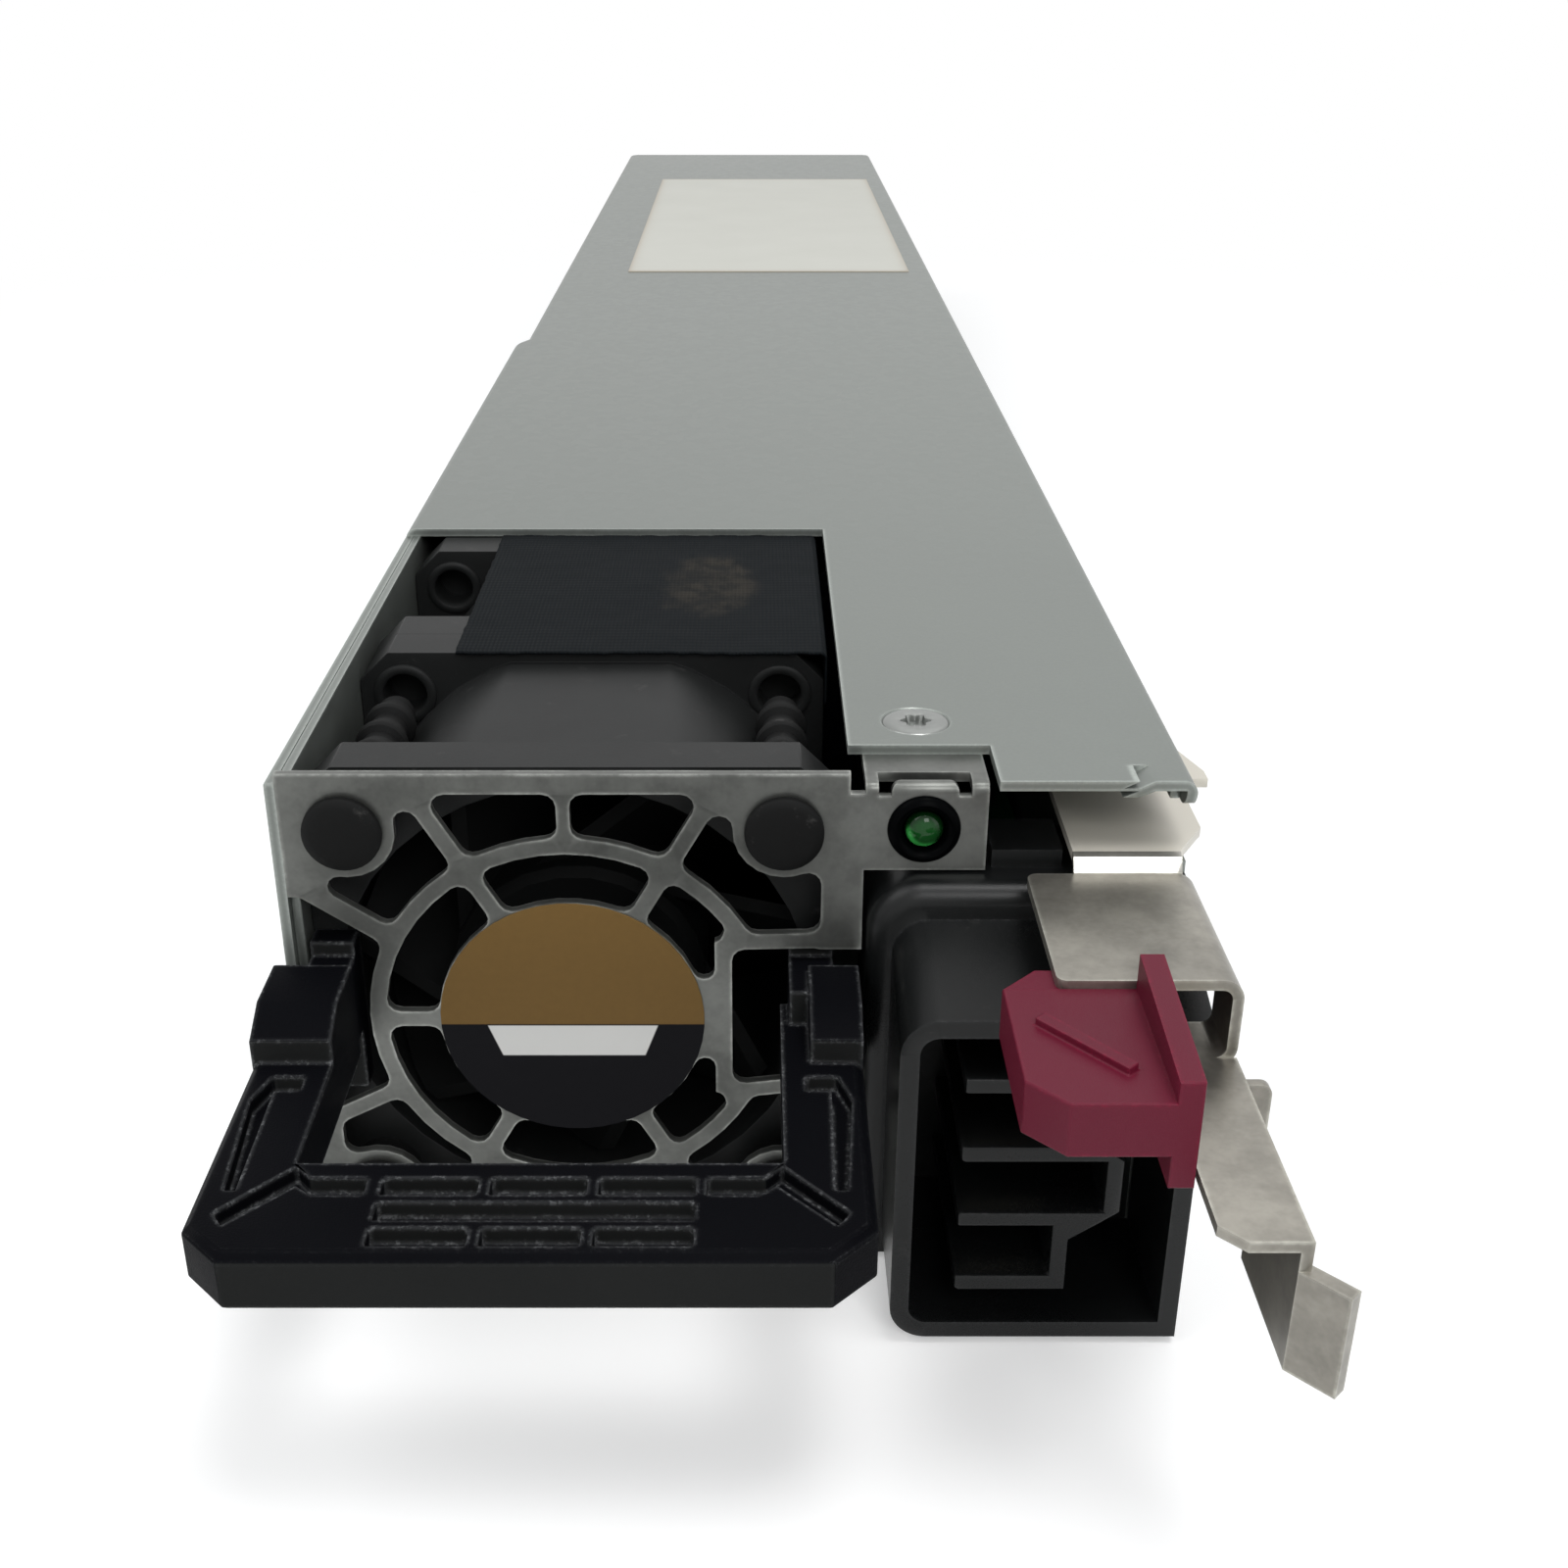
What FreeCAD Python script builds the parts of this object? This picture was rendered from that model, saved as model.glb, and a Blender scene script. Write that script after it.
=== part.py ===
import FreeCAD, Part
import math
import os
import re

import Sketcher

# A hot swap server power supply, in millimetres, +Z up. The supply lies on its base with its
# front, the end with the fan grille, the handle, the latch and the mains inlet, towards -Y.
# The origin is the centre of the case's base. Every piece is drawn with y counted from the
# front plate's face, and its Placement carries it to where the front plate stands.

Vector = FreeCAD.Vector
doc = FreeCAD.newDocument("ServerPowerSupply")

# ---------------------------------------------------------------------------------------------
# Driving dimensions
# ---------------------------------------------------------------------------------------------

SIZES = [
    # The sheet metal case
    ("case_length", 405, "front plate to rear panel"),
    ("case_width", 66, "over the cover's skirts, behind the fan section"),
    ("case_height", 42, "base to cover"),
    ("sheet", 0.75, "thickness of the case's sheet metal"),
    ("wall_bulge", 1.5, "how far the left wall steps out beside the fans"),
    ("bulge_length", 150, "length of the stepped-out wall"),
    ("bulge_ramp", 3.5, "length of the step itself"),
    ("skirt_lift", 0.75, "cover skirts' lower edge above the base"),
    ("fold_radius", 1, "outside radius of the cover's folds"),
    ("rear_corner", 2, "plan radius of the cover's rear corners"),
    ("lip_front", 1.2, "cover's right lip in front of the front plate"),
    ("lip_drop", 2.3, "depth of the skirt over the latch"),
    ("dimple_x", 28.25, "dimple in the right lip, right of the middle"),
    ("dimple_width", 1.2, "flat bottom of the dimple"),
    ("dimple_depth", 0.55, "depth of the dimple"),
    ("dimple_end", 1.6, "rear end of the dimple"),
    ("lip_start", 18.75, "left end of the cover's right lip"),
    ("cover_setback", 5.2, "cover's edge behind the front plate, above the lamp tab"),
    # The front plate
    ("plate_gap", 2.25, "space between the front plate and the fans"),
    ("window_left", 2.1, "front plate left of the fan window"),
    ("window_top", 1.6, "front plate above and below the fan window"),
    ("window_right", 3.1, "front plate right of the fan window"),
    ("ring_radius", 15.6, "outside radius of the grille's ring"),
    ("web", 1.3, "width of the grille's ring and spokes"),
    ("narrow_web", 1, "width of the grille's upright spokes"),
    ("flat_reach", 12.3, "fan axis to the outside of the ring's flat side"),
    ("flat_half", 6.8, "half the height of the ring's flat side"),
    ("hub_radius", 10.25, "grille's hub disc"),
    ("ear_radius", 3.8, "grille ears round the mounting pins"),
    ("opening_round", 1, "corner radius of the grille's openings"),
    ("chord_depth", 0.04, "short chords inside the grille's curves"),
    ("left_notch_top", 31.9, "top of the plate's left notch, round the handle's foot"),
    ("right_notch_top", 27.4, "top of the plate's right notch"),
    ("notch_bottom", 12.5, "bottom of both notches"),
    ("tab_width", 9, "lamp tab's width"),
    ("tab_slit", 1.1, "slit between the grille's top edge and the lamp tab"),
    ("tab_bottom", 34.2, "lamp tab's lower edge"),
    ("tab_fold", 14, "how far the lamp tab folds back under the cover"),
    ("hook_width", 6.8, "hook slot over the lamp tab's bend"),
    ("tongue_plate", 4.9, "tongue that stands in the hook slot"),
    ("hook_depth", 2, "hook slot behind the front plate's face"),
    ("hook_drop", 0.3, "hook slot's ends below the fold"),
    # The fans
    ("fan_size", 40, "fan frame's side"),
    ("fan_depth", 28, "depth of one fan"),
    ("fan_pitch", 32.4, "distance between mounting holes"),
    ("fan_clearance", 0.1, "fan frame to the left wall"),
    ("fan_height", 21.2, "fan axis above the base"),
    ("fan_flange", 4.6, "thickness of the frame's end flanges"),
    ("fan_bore", 36.8, "bore of the fan duct"),
    ("duct_diameter", 40.6, "outside of the fan duct"),
    ("duct_flat", 38.2, "distance between the duct's flats"),
    ("fan_hole", 4, "diameter of the mounting holes"),
    ("flange_corner", 2.5, "corner radius of the flanges"),
    ("strut", 1.6, "width of the struts that carry the motor"),
    ("motor_base", 2.6, "thickness of the motor's base and its struts"),
    ("rotor_diameter", 20.4, "rotor cup"),
    ("cup_wall", 1, "wall of the rotor cup"),
    ("cup_inset", 2.4, "rotor cup behind the fan's open face"),
    ("rotor_gap", 0.5, "rotor to motor base, and blade tips to duct"),
    ("blade_thickness", 0.9, "fan blade"),
    ("front_blades", 7, "blades of the front rotor"),
    ("rear_blades", 5, "blades of the rear rotor"),
    ("shaft_diameter", 3, "rotor shaft"),
    ("running_gap", 0.04, "radial clearance of shafts and pins in their bearings"),
    ("sleeve_wall", 1.2, "bearing sleeve"),
    ("tube_wall", 0.7, "motor tube round the bearing sleeve"),
    ("magnet_wall", 1, "magnet ring"),
    ("air_gap", 0.35, "stator to magnet ring"),
    ("pin_head", 5.9, "diameter of a mounting pin's head"),
    ("pin_proud", 1.1, "thickness of a mounting pin's head"),
    ("pin_shank", 3.2, "diameter of a mounting pin's shank"),
    ("pin_collar", 4.4, "diameter of a mounting pin's ribs"),
    ("tape_left", 8.3, "left edge of the tape from the fan frame's side"),
    ("tape_flap", 5, "how far the tape is folded down on the right"),
    ("tape_thickness", 0.25, "cloth tape"),
    ("window_gap", 1, "cover's fan cut-out beyond the fan frame"),
    ("label_thickness", 0.15, "round label and rating sticker"),
    ("label_inset", 0.1, "round label inside the hub disc"),
    # The lamp
    ("lamp_height", 37.6, "lamp axis above the base"),
    ("bezel_diameter", 5.4, "lamp bezel"),
    ("bezel_proud", 0.6, "bezel in front of the plate"),
    ("lens_diameter", 2.9, "lamp lens"),
    ("lamp_depth", 5, "lamp body behind the plate"),
    ("lamp_barrel", 4, "diameter of the lamp body"),
    # The cover screw
    ("screw_back", 9.8, "screw behind the front plate"),
    ("screw_shank", 3, "screw's thread diameter"),
    ("screw_head", 5.2, "screw's head diameter"),
    ("screw_clearance", 0.1, "clearance round the screws"),
    ("screw_length", 4, "screw length"),
    ("side_screw_inset", 20, "side screws in front of the rear panel"),
    # The handle
    ("handle_width", 44, "over the arms"),
    ("handle_shift", 0.15, "handle's middle left of the fan axis"),
    ("handle_reach", 30.3, "handle in front of the plate"),
    ("handle_bar", 9.3, "depth of the grip bar"),
    ("handle_arm", 5.9, "width of an arm"),
    ("handle_thick", 4.6, "thickness of the bar and arms"),
    ("handle_chamfer", 2.9, "handle's front corners"),
    ("handle_edge", 0.6, "radius of the handle's outer edges"),
    ("handle_gap", 1.4, "handle's blocks to the plate"),
    ("block_length", 8, "blocks at the arms' rear ends"),
    ("block_rise", 3.4, "blocks above the arms"),
    ("foot_width", 3.4, "handle's feet behind the plate"),
    ("groove_depth", 1.2, "depth of the handle's pockets"),
    ("grip_width", 20.4, "rows of grip pockets, end to end"),
    ("grip_gap", 0.8, "ribs between the grip pockets"),
    ("grip_row", 1.7, "width of a row of grip pockets"),
    ("grip_start", 1, "first row of pockets behind the handle's front"),
    # The mains inlet
    ("inlet_left", 9.5, "left side of the inlet's base slab"),
    ("slab_top", 34, "top of the inlet's base slab"),
    ("slab_front", 2.5, "base slab in front of the plate"),
    ("slab_depth", 8, "base slab behind the plate"),
    ("slab_corner", 4, "radius of the base slab's top left corner"),
    ("slab_edge", 1.6, "radius of the base slab's front edges"),
    ("mouth_reach", 12.2, "inlet's mouth in front of the plate"),
    ("shell_left", 11.3, "left side of the inlet's shell"),
    ("shell_top", 28.8, "top of the shell at its mouth"),
    ("shell_root", 31.4, "top of the shell at the slab"),
    ("shell_bottom", 0.6, "underside of the shell above the base"),
    ("shell_wall", 1.4, "wall of the shell"),
    ("shell_corner", 2.8, "radius of the shell's left corners"),
    ("shell_floor", 5.5, "cavity's floor behind the plate"),
    ("tine_left", 16, "left ends of the insert's tines"),
    ("tine_pitch", 5.85, "distance between tines"),
    ("tine_low", 5.8, "lowest tine's middle above the base"),
    ("tine_thick", 1.3, "thickness of a tine"),
    ("comb_right", 24.3, "right side of the insert's outer chambers"),
    ("comb_wide", 27.9, "right side of the insert's middle chamber"),
    ("contact_back", 4.2, "contact blades' tips behind the mouth"),
    ("contact_width", 6, "width of a contact blade"),
    ("contact_thick", 0.8, "thickness of a contact blade"),
    # The latch
    ("lever_sheet", 0.75, "thickness of the latch lever"),
    ("lever_drop", 5.5, "lever's top below the cover's top"),
    ("joggle", 1.25, "lever's step down outside the case"),
    ("lever_proud", 0.2, "lever's side beyond the case's side"),
    ("lever_bend", 1.5, "outside radius of the lever's folds"),
    ("arm_left", 24.3, "left side of the lever inside the case"),
    ("arm_right", 32.2, "right side of the lever at the front plate"),
    ("plate_left", 20.85, "left side of the lever's outside plate"),
    ("plate_end", 17.3, "front end of the lever's outside plate"),
    ("strip_left", 27.9, "left side of the lever's lower strip"),
    ("strip_end", 36, "front end of the lower strip"),
    ("strip_drop", 5.95, "lower strip's top below the outside plate's top"),
    ("web_depth", 9.5, "thumb tab's web below the strip"),
    ("web_length", 10, "length of the web"),
    ("tooth_reach", 4, "tooth beyond the case's right side"),
    ("tooth_front", 11, "tooth's locking face behind the front plate"),
    ("tooth_ramp", 31, "rear end of the tooth's ramp"),
    ("pivot_x", 26, "latch pivot, right of the middle"),
    ("pivot_back", 45, "latch pivot behind the front plate"),
    ("pivot_diameter", 3, "latch pivot pin"),
    ("lever_tail", 6, "lever behind its pivot"),
    ("lever_clearance", 0.3, "free play under and over the lever"),
    ("slot_clearance", 0.8, "case slot above and below the lever"),
    ("spring_wire", 0.6, "return spring's wire"),
    # The latch's finger cap
    ("cap_left", 17.3, "left side of the cap"),
    ("cap_rear", 14.7, "rear of the cap in front of the plate"),
    ("cap_front", 30.2, "front of the cap"),
    ("cap_top", 5.4, "top of the cap's pad above the lever's strip"),
    ("cap_bottom", 1.6, "underside of the cap's pad above the lever's strip"),
    ("cap_corner", 2.4, "cap's chamfered corners"),
    ("ridge_width", 1.6, "ridge along the cap's right side"),
    ("ridge_top", 8.05, "top of the ridge's rear end above the lever's strip"),
    ("ridge_fall", 1.15, "ridge's front end below its rear end"),
    # Inside the case and at its rear
    ("board_left", 30.6, "half the width of the main board"),
    ("board_height", 5, "underside of the main board above the base"),
    ("board_thick", 1.6, "main board"),
    ("board_start", 64, "front edge of the main board"),
    ("board_end_gap", 4, "board's shoulders to the rear panel"),
    ("tongue_width", 44, "board's contact tongue through the rear panel"),
    ("tongue_reach", 9, "tongue behind the rear panel"),
    ("tongue_gap", 0.6, "rear panel's slot round the tongue"),
    ("pad_thick", 0.12, "contact pads on the tongue"),
    ("spacer_diameter", 6, "board spacers"),
    ("spacer_inset", 5, "board spacers from the board's corners"),
    ("insulator_thick", 0.3, "insulator sheet"),
    ("capacitor_diameter", 29, "bulk capacitors"),
    ("capacitor_length", 46, "bulk capacitors"),
    ("core_length", 42, "transformer core"),
    ("core_width", 36, "transformer core"),
    ("core_height", 30, "transformer core"),
    ("sink_height", 30, "heat sinks"),
    ("sink_length", 92, "heat sinks"),
    ("sink_fin", 1.6, "heat sink fins and plates"),
    ("choke_diameter", 28, "line choke"),
    ("choke_height", 17, "line choke"),
    ("vent_diameter", 6.4, "rear panel's vents, across their flats"),
    ("vent_pitch", 8, "distance between vents"),
    ("sticker_length", 135, "rating sticker"),
    ("sticker_width", 50.5, "rating sticker"),
    ("sticker_back", 214, "rating sticker's front edge behind the front plate"),
    ("sticker_x", 3.75, "rating sticker right of the middle"),
]

# Places that follow from the sizes: x from the middle, y from the front plate, z from the base.
PLACES = [
    ("front_y", "-case_length / 2"),
    ("side_x", "case_width / 2"),
    ("bulge_x", "side_x + wall_bulge"),
    ("tray_x", "side_x - sheet"),
    ("tray_bulge", "bulge_x - sheet"),
    ("inner_x", "tray_x - sheet"),
    ("inner_bulge", "tray_bulge - sheet"),
    ("cover_under", "case_height - sheet"),
    ("fan_x", "fan_clearance + fan_size / 2 - inner_bulge"),
    ("fan_left", "fan_x - fan_size / 2"),
    ("fan_right", "fan_x + fan_size / 2"),
    ("fan_bottom", "fan_height - fan_size / 2"),
    ("fan_top", "fan_height + fan_size / 2"),
    ("fan_front", "sheet + plate_gap"),
    ("fan_middle", "fan_front + fan_depth"),
    ("fan_rear", "fan_middle + fan_depth"),
    ("cutout_right", "fan_right + window_gap"),
    ("cutout_rear", "fan_rear + window_gap / 4"),
    ("plate_right", "fan_right + window_gap + tab_slit"),
    ("slit_low", "case_height - window_top"),
    ("tab_right", "plate_right + tab_width"),
    ("lamp_x", "plate_right + tab_width / 2 - 0.15"),
    ("handle_middle", "fan_height"),
    ("handle_top", "handle_middle + handle_thick / 2"),
    ("handle_bottom", "handle_middle - handle_thick / 2"),
    ("handle_left", "fan_x - handle_shift - handle_width / 2"),
    ("handle_right", "fan_x - handle_shift + handle_width / 2"),
    ("lever_top", "case_height - lever_drop"),
    ("lever_bottom", "lever_top - lever_sheet"),
    ("plate_top", "lever_top - joggle"),
    ("plate_bottom", "plate_top - lever_sheet"),
    ("strip_top", "plate_top - strip_drop"),
    ("strip_bottom", "strip_top - lever_sheet"),
    ("lever_side", "side_x + lever_proud"),
    ("slot_low", "lever_bottom - slot_clearance"),
    ("slot_high", "case_height - lip_drop"),
    ("slot_rear", "tooth_ramp + 4"),
    ("bracket_top", "lever_bottom - lever_clearance"),
    ("cap_right", "strip_left - lever_clearance"),
    ("board_top", "board_height + board_thick"),
    ("board_end", "case_length - sheet - board_end_gap"),
]

sizes = doc.addObject("Spreadsheet::Sheet", "Sizes")
for row, (name, size, note) in enumerate(SIZES, 1):
    sizes.set("A%d" % row, name)
    sizes.set("B%d" % row, str(size))
    sizes.setAlias("B%d" % row, name)
    sizes.set("C%d" % row, note)

OWNERS = {name: "Sizes." + name for name, size, note in SIZES}
WORD = re.compile(r"[a-z][a-z0-9_]*")


def formula(text):
    """Return a formula with every alias written with the sheet that it stands in."""
    return WORD.sub(lambda word: OWNERS.get(word.group(), word.group()), text)


places = doc.addObject("Spreadsheet::Sheet", "Places")
for row, (name, text) in enumerate(PLACES, 1):
    places.set("A%d" % row, name)
    places.set("B%d" % row, "=" + formula(text))
    places.setAlias("B%d" % row, name)
    OWNERS[name] = "Places." + name
    places.recompute()

scratch = doc.addObject("Spreadsheet::Sheet", "Scratch")
doc.recompute()


def number(text):
    """Return what a formula comes to with the sheets' present sizes."""
    scratch.set("A1", "=" + formula(text))
    scratch.recompute()
    return float(scratch.get("A1"))


# ---------------------------------------------------------------------------------------------
# How the pieces are drawn
# ---------------------------------------------------------------------------------------------

NODES = []
CUTS = []
AXES = {"x": Vector(1, 0, 0), "y": Vector(0, 1, 0), "z": Vector(0, 0, 1)}
TURNS = {
    "x": FreeCAD.Rotation(Vector(0, 1, 0), 90),
    "y": FreeCAD.Rotation(Vector(1, 0, 0), -90),
    "z": FreeCAD.Rotation(),
}


def sub_part(label, item):
    """Name a finished piece and place it from the front plate's face."""
    item.Label = label
    own = [text for path, text in item.ExpressionEngine if path.endswith("Placement.Base.y")]
    own = own or [str(item.Placement.Base.y)]
    item.setExpression("Placement.Base.y", " + ".join([formula("front_y")] + own))
    NODES.append((label, item))
    return item


def box(name, x, y, z):
    """A box between the low and high formula given for each axis."""
    item = doc.addObject("Part::Box", name)
    for edge, place, (low, high) in zip(("Length", "Width", "Height"), "xyz", (x, y, z)):
        item.setExpression(edge, formula("(%s) - (%s)" % (high, low)))
        item.setExpression("Placement.Base." + place, formula(low))
    return item


def rod(name, axis, radius, centre, low, high):
    """A cylinder along an axis, from low to high; centre holds the other two coordinates."""
    item = doc.addObject("Part::Cylinder", name)
    item.Placement.Rotation = TURNS[axis]
    item.setExpression("Radius", formula(radius))
    item.setExpression("Height", formula("(%s) - (%s)" % (high, low)))
    across = [place for place in "xyz" if place != axis]
    for place, text in zip(across, centre):
        item.setExpression("Placement.Base." + place, formula(text))
    item.setExpression("Placement.Base." + axis, formula(low))
    return item


def taper(name, axis, low_radius, high_radius, centre, low, high):
    """A cone along an axis, from low to high."""
    item = doc.addObject("Part::Cone", name)
    item.Placement.Rotation = TURNS[axis]
    item.setExpression("Radius1", formula(low_radius))
    item.setExpression("Radius2", formula(high_radius))
    item.setExpression("Height", formula("(%s) - (%s)" % (high, low)))
    across = [place for place in "xyz" if place != axis]
    for place, text in zip(across, centre):
        item.setExpression("Placement.Base." + place, formula(text))
    item.setExpression("Placement.Base." + axis, formula(low))
    return item


def prism(name, axis, sides, flats, centre, low, high):
    """A regular prism along an axis; flats is the distance between its opposite sides."""
    item = doc.addObject("Part::Prism", name)
    item.Polygon = sides
    item.Placement.Rotation = TURNS[axis].multiply(FreeCAD.Rotation(AXES["z"], 180 / sides))
    item.setExpression("Circumradius", formula("(%s) / 2 / cos(%s deg)" % (flats, 180 / sides)))
    item.setExpression("Height", formula("(%s) - (%s)" % (high, low)))
    across = [place for place in "xyz" if place != axis]
    for place, text in zip(across, centre):
        item.setExpression("Placement.Base." + place, formula(text))
    item.setExpression("Placement.Base." + axis, formula(low))
    return item


def joined(name, items):
    """Several solids as one."""
    item = doc.addObject("Part::MultiFuse", name)
    item.Shapes = items
    item.Refine = True
    return item


def without(name, base, tools):
    """A solid with tools taken out of it."""
    item = doc.addObject("Part::Cut", name)
    item.Base = base
    item.Tool = tools[0] if len(tools) == 1 else joined(name + "Tools", tools)
    item.Refine = True
    CUTS.append((item, base))
    return item


def shared(name, base, tool):
    """What two solids have in common."""
    item = doc.addObject("Part::Common", name)
    item.Base = base
    item.Tool = tool
    return item


def body(name):
    return doc.addObject("PartDesign::Body", name)


def sketch_on(owner, name, plane, offset):
    """An empty sketch parallel to one of the body's own origin planes."""
    sketch = owner.newObject("Sketcher::SketchObject", name)
    faces = [item for item in owner.Origin.OriginFeatures if item.Role == plane + "_Plane"]
    sketch.AttachmentSupport = [(faces[0], "")]
    sketch.MapMode = "FlatFace"
    sketch.setExpression("AttachmentOffset.Base.z", formula(offset))
    return sketch


def hold(sketch, kind, geometry, text):
    """Dimension a sketch's element with a formula; geometry names the element as Sketcher does."""
    index = sketch.addConstraint(Sketcher.Constraint(kind, *geometry, number(text)))
    sketch.setExpression("Constraints[%d]" % index, formula(text))


def outline(sketch, corners):
    """A closed outline with each corner dimensioned from the sketch's origin."""
    points = [Vector(number(across), number(along), 0) for across, along in corners]
    first = sketch.GeometryCount
    count = len(points)
    lines = [Part.LineSegment(points[i], points[(i + 1) % count]) for i in range(count)]
    sketch.addGeometry(lines, False)
    joints = [(first + i, 2, first + (i + 1) % count, 1) for i in range(count)]
    sketch.addConstraint([Sketcher.Constraint("Coincident", *joint) for joint in joints])
    for i, (across, along) in enumerate(corners):
        hold(sketch, "DistanceX", (-1, 1, first + i, 1), across)
        hold(sketch, "DistanceY", (-1, 1, first + i, 1), along)


def circle(sketch, across, along, radius):
    """A circle with its centre and radius dimensioned."""
    centre = Vector(number(across), number(along), 0)
    index = sketch.addGeometry(Part.Circle(centre, Vector(0, 0, 1), number(radius)), False)
    hold(sketch, "DistanceX", (-1, 1, index, 3), across)
    hold(sketch, "DistanceY", (-1, 1, index, 3), along)
    hold(sketch, "Radius", (index,), radius)


def layer(owner, name, plane, low, high, corners=(), circles=(), pocket=False):
    """Pad, or pocket, outlines drawn on a plane between two heights along its normal."""
    upward = plane != "XZ"
    start = (high if pocket else low) if upward else (low if pocket else high)
    sketch = sketch_on(owner, name + "Sketch", plane, start if upward else "-(%s)" % start)
    for shape in corners:
        outline(sketch, shape)
    for across, along, radius in circles:
        circle(sketch, across, along, radius)
    before = owner.Tip
    feature = owner.newObject("PartDesign::Pocket" if pocket else "PartDesign::Pad", name)
    feature.Profile = sketch
    feature.setExpression("Length", formula("(%s) - (%s)" % (high, low)))
    feature.Refine = True
    if pocket:
        CUTS.append((feature, before))
    return feature


def rectangle(x, y):
    """The corners of a rectangle between two formulas each way."""
    return [(x[0], y[0]), (x[1], y[0]), (x[1], y[1]), (x[0], y[1])]


def regular(across, along, radius, sides):
    """The corners of a regular outline whose sides lie at a radius from its centre."""
    reach = "(%s) / cos(%s deg)" % (radius, 180 / sides)
    turns = [360 * (side + 0.5) / sides for side in range(sides)]
    return [("%s + %s * cos(%s deg)" % (across, reach, turn),
             "%s + %s * sin(%s deg)" % (along, reach, turn)) for turn in turns]


def edges_where(item, test):
    """The names of the edges whose middle point and direction pass a test."""
    names = []
    for index, edge in enumerate(item.Shape.Edges, 1):
        middle = edge.valueAt((edge.FirstParameter + edge.LastParameter) / 2)
        ends = edge.valueAt(edge.LastParameter) - edge.valueAt(edge.FirstParameter)
        if test(middle, ends):
            names.append("Edge%d" % index)
    return names


def rounded(owner, name, radius, test, kind="PartDesign::Fillet"):
    """Round, or chamfer, a body's edges that pass a test."""
    doc.recompute()
    base = owner.Tip
    feature = owner.newObject(kind, name)
    feature.Base = (base, edges_where(base, test))
    feature.setExpression("Radius" if kind.endswith("Fillet") else "Size", formula(radius))
    return feature


def near(value, target):
    return abs(value - target) < 0.01


def along(direction, axis):
    """Whether an edge's direction runs along an axis."""
    return direction.Length > 0.01 and direction.cross(AXES[axis]).Length < 0.001 * direction.Length


def drawn(name, shape):
    """A piece whose shape Part's own functions make."""
    item = doc.addObject("Part::Feature", name)
    item.Shape = shape
    return item


# ---------------------------------------------------------------------------------------------
# The case
# ---------------------------------------------------------------------------------------------


SIDE_HOLE = ("case_length - side_screw_inset", "fan_height", "screw_shank / 2 + screw_clearance")


def make_tray():
    """The case's lower half: a floor and two walls, the left one stepped out beside the fans."""
    tray = body("Tray")
    plan = [
        ("-tray_bulge", "sheet"), ("tray_x", "sheet"), ("tray_x", "case_length"),
        ("-tray_x", "case_length"), ("-tray_x", "bulge_length + bulge_ramp"),
        ("-tray_bulge", "bulge_length"),
    ]
    layer(tray, "TrayBlock", "XY", "0", "cover_under", [plan])
    hollow = [
        ("-inner_bulge", "-sheet"), ("inner_x", "-sheet"), ("inner_x", "case_length + sheet"),
        ("-inner_x", "case_length + sheet"), ("-inner_x", "bulge_length + bulge_ramp"),
        ("-inner_bulge", "bulge_length"),
    ]
    layer(tray, "TrayHollow", "XY", "sheet", "case_height", [hollow], pocket=True)
    slot = rectangle(("-sheet", "slot_rear"), ("slot_low", "slot_high"))
    layer(tray, "TrayLatchSlot", "YZ", "inner_x - sheet", "side_x", [slot], pocket=True)
    layer(tray, "TrayScrewHoles", "YZ", "-side_x", "side_x", [regular(*SIDE_HOLE, 12)],
          pocket=True)
    sub_part("tray", tray)


SEAT_ANGLE = 45


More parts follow.
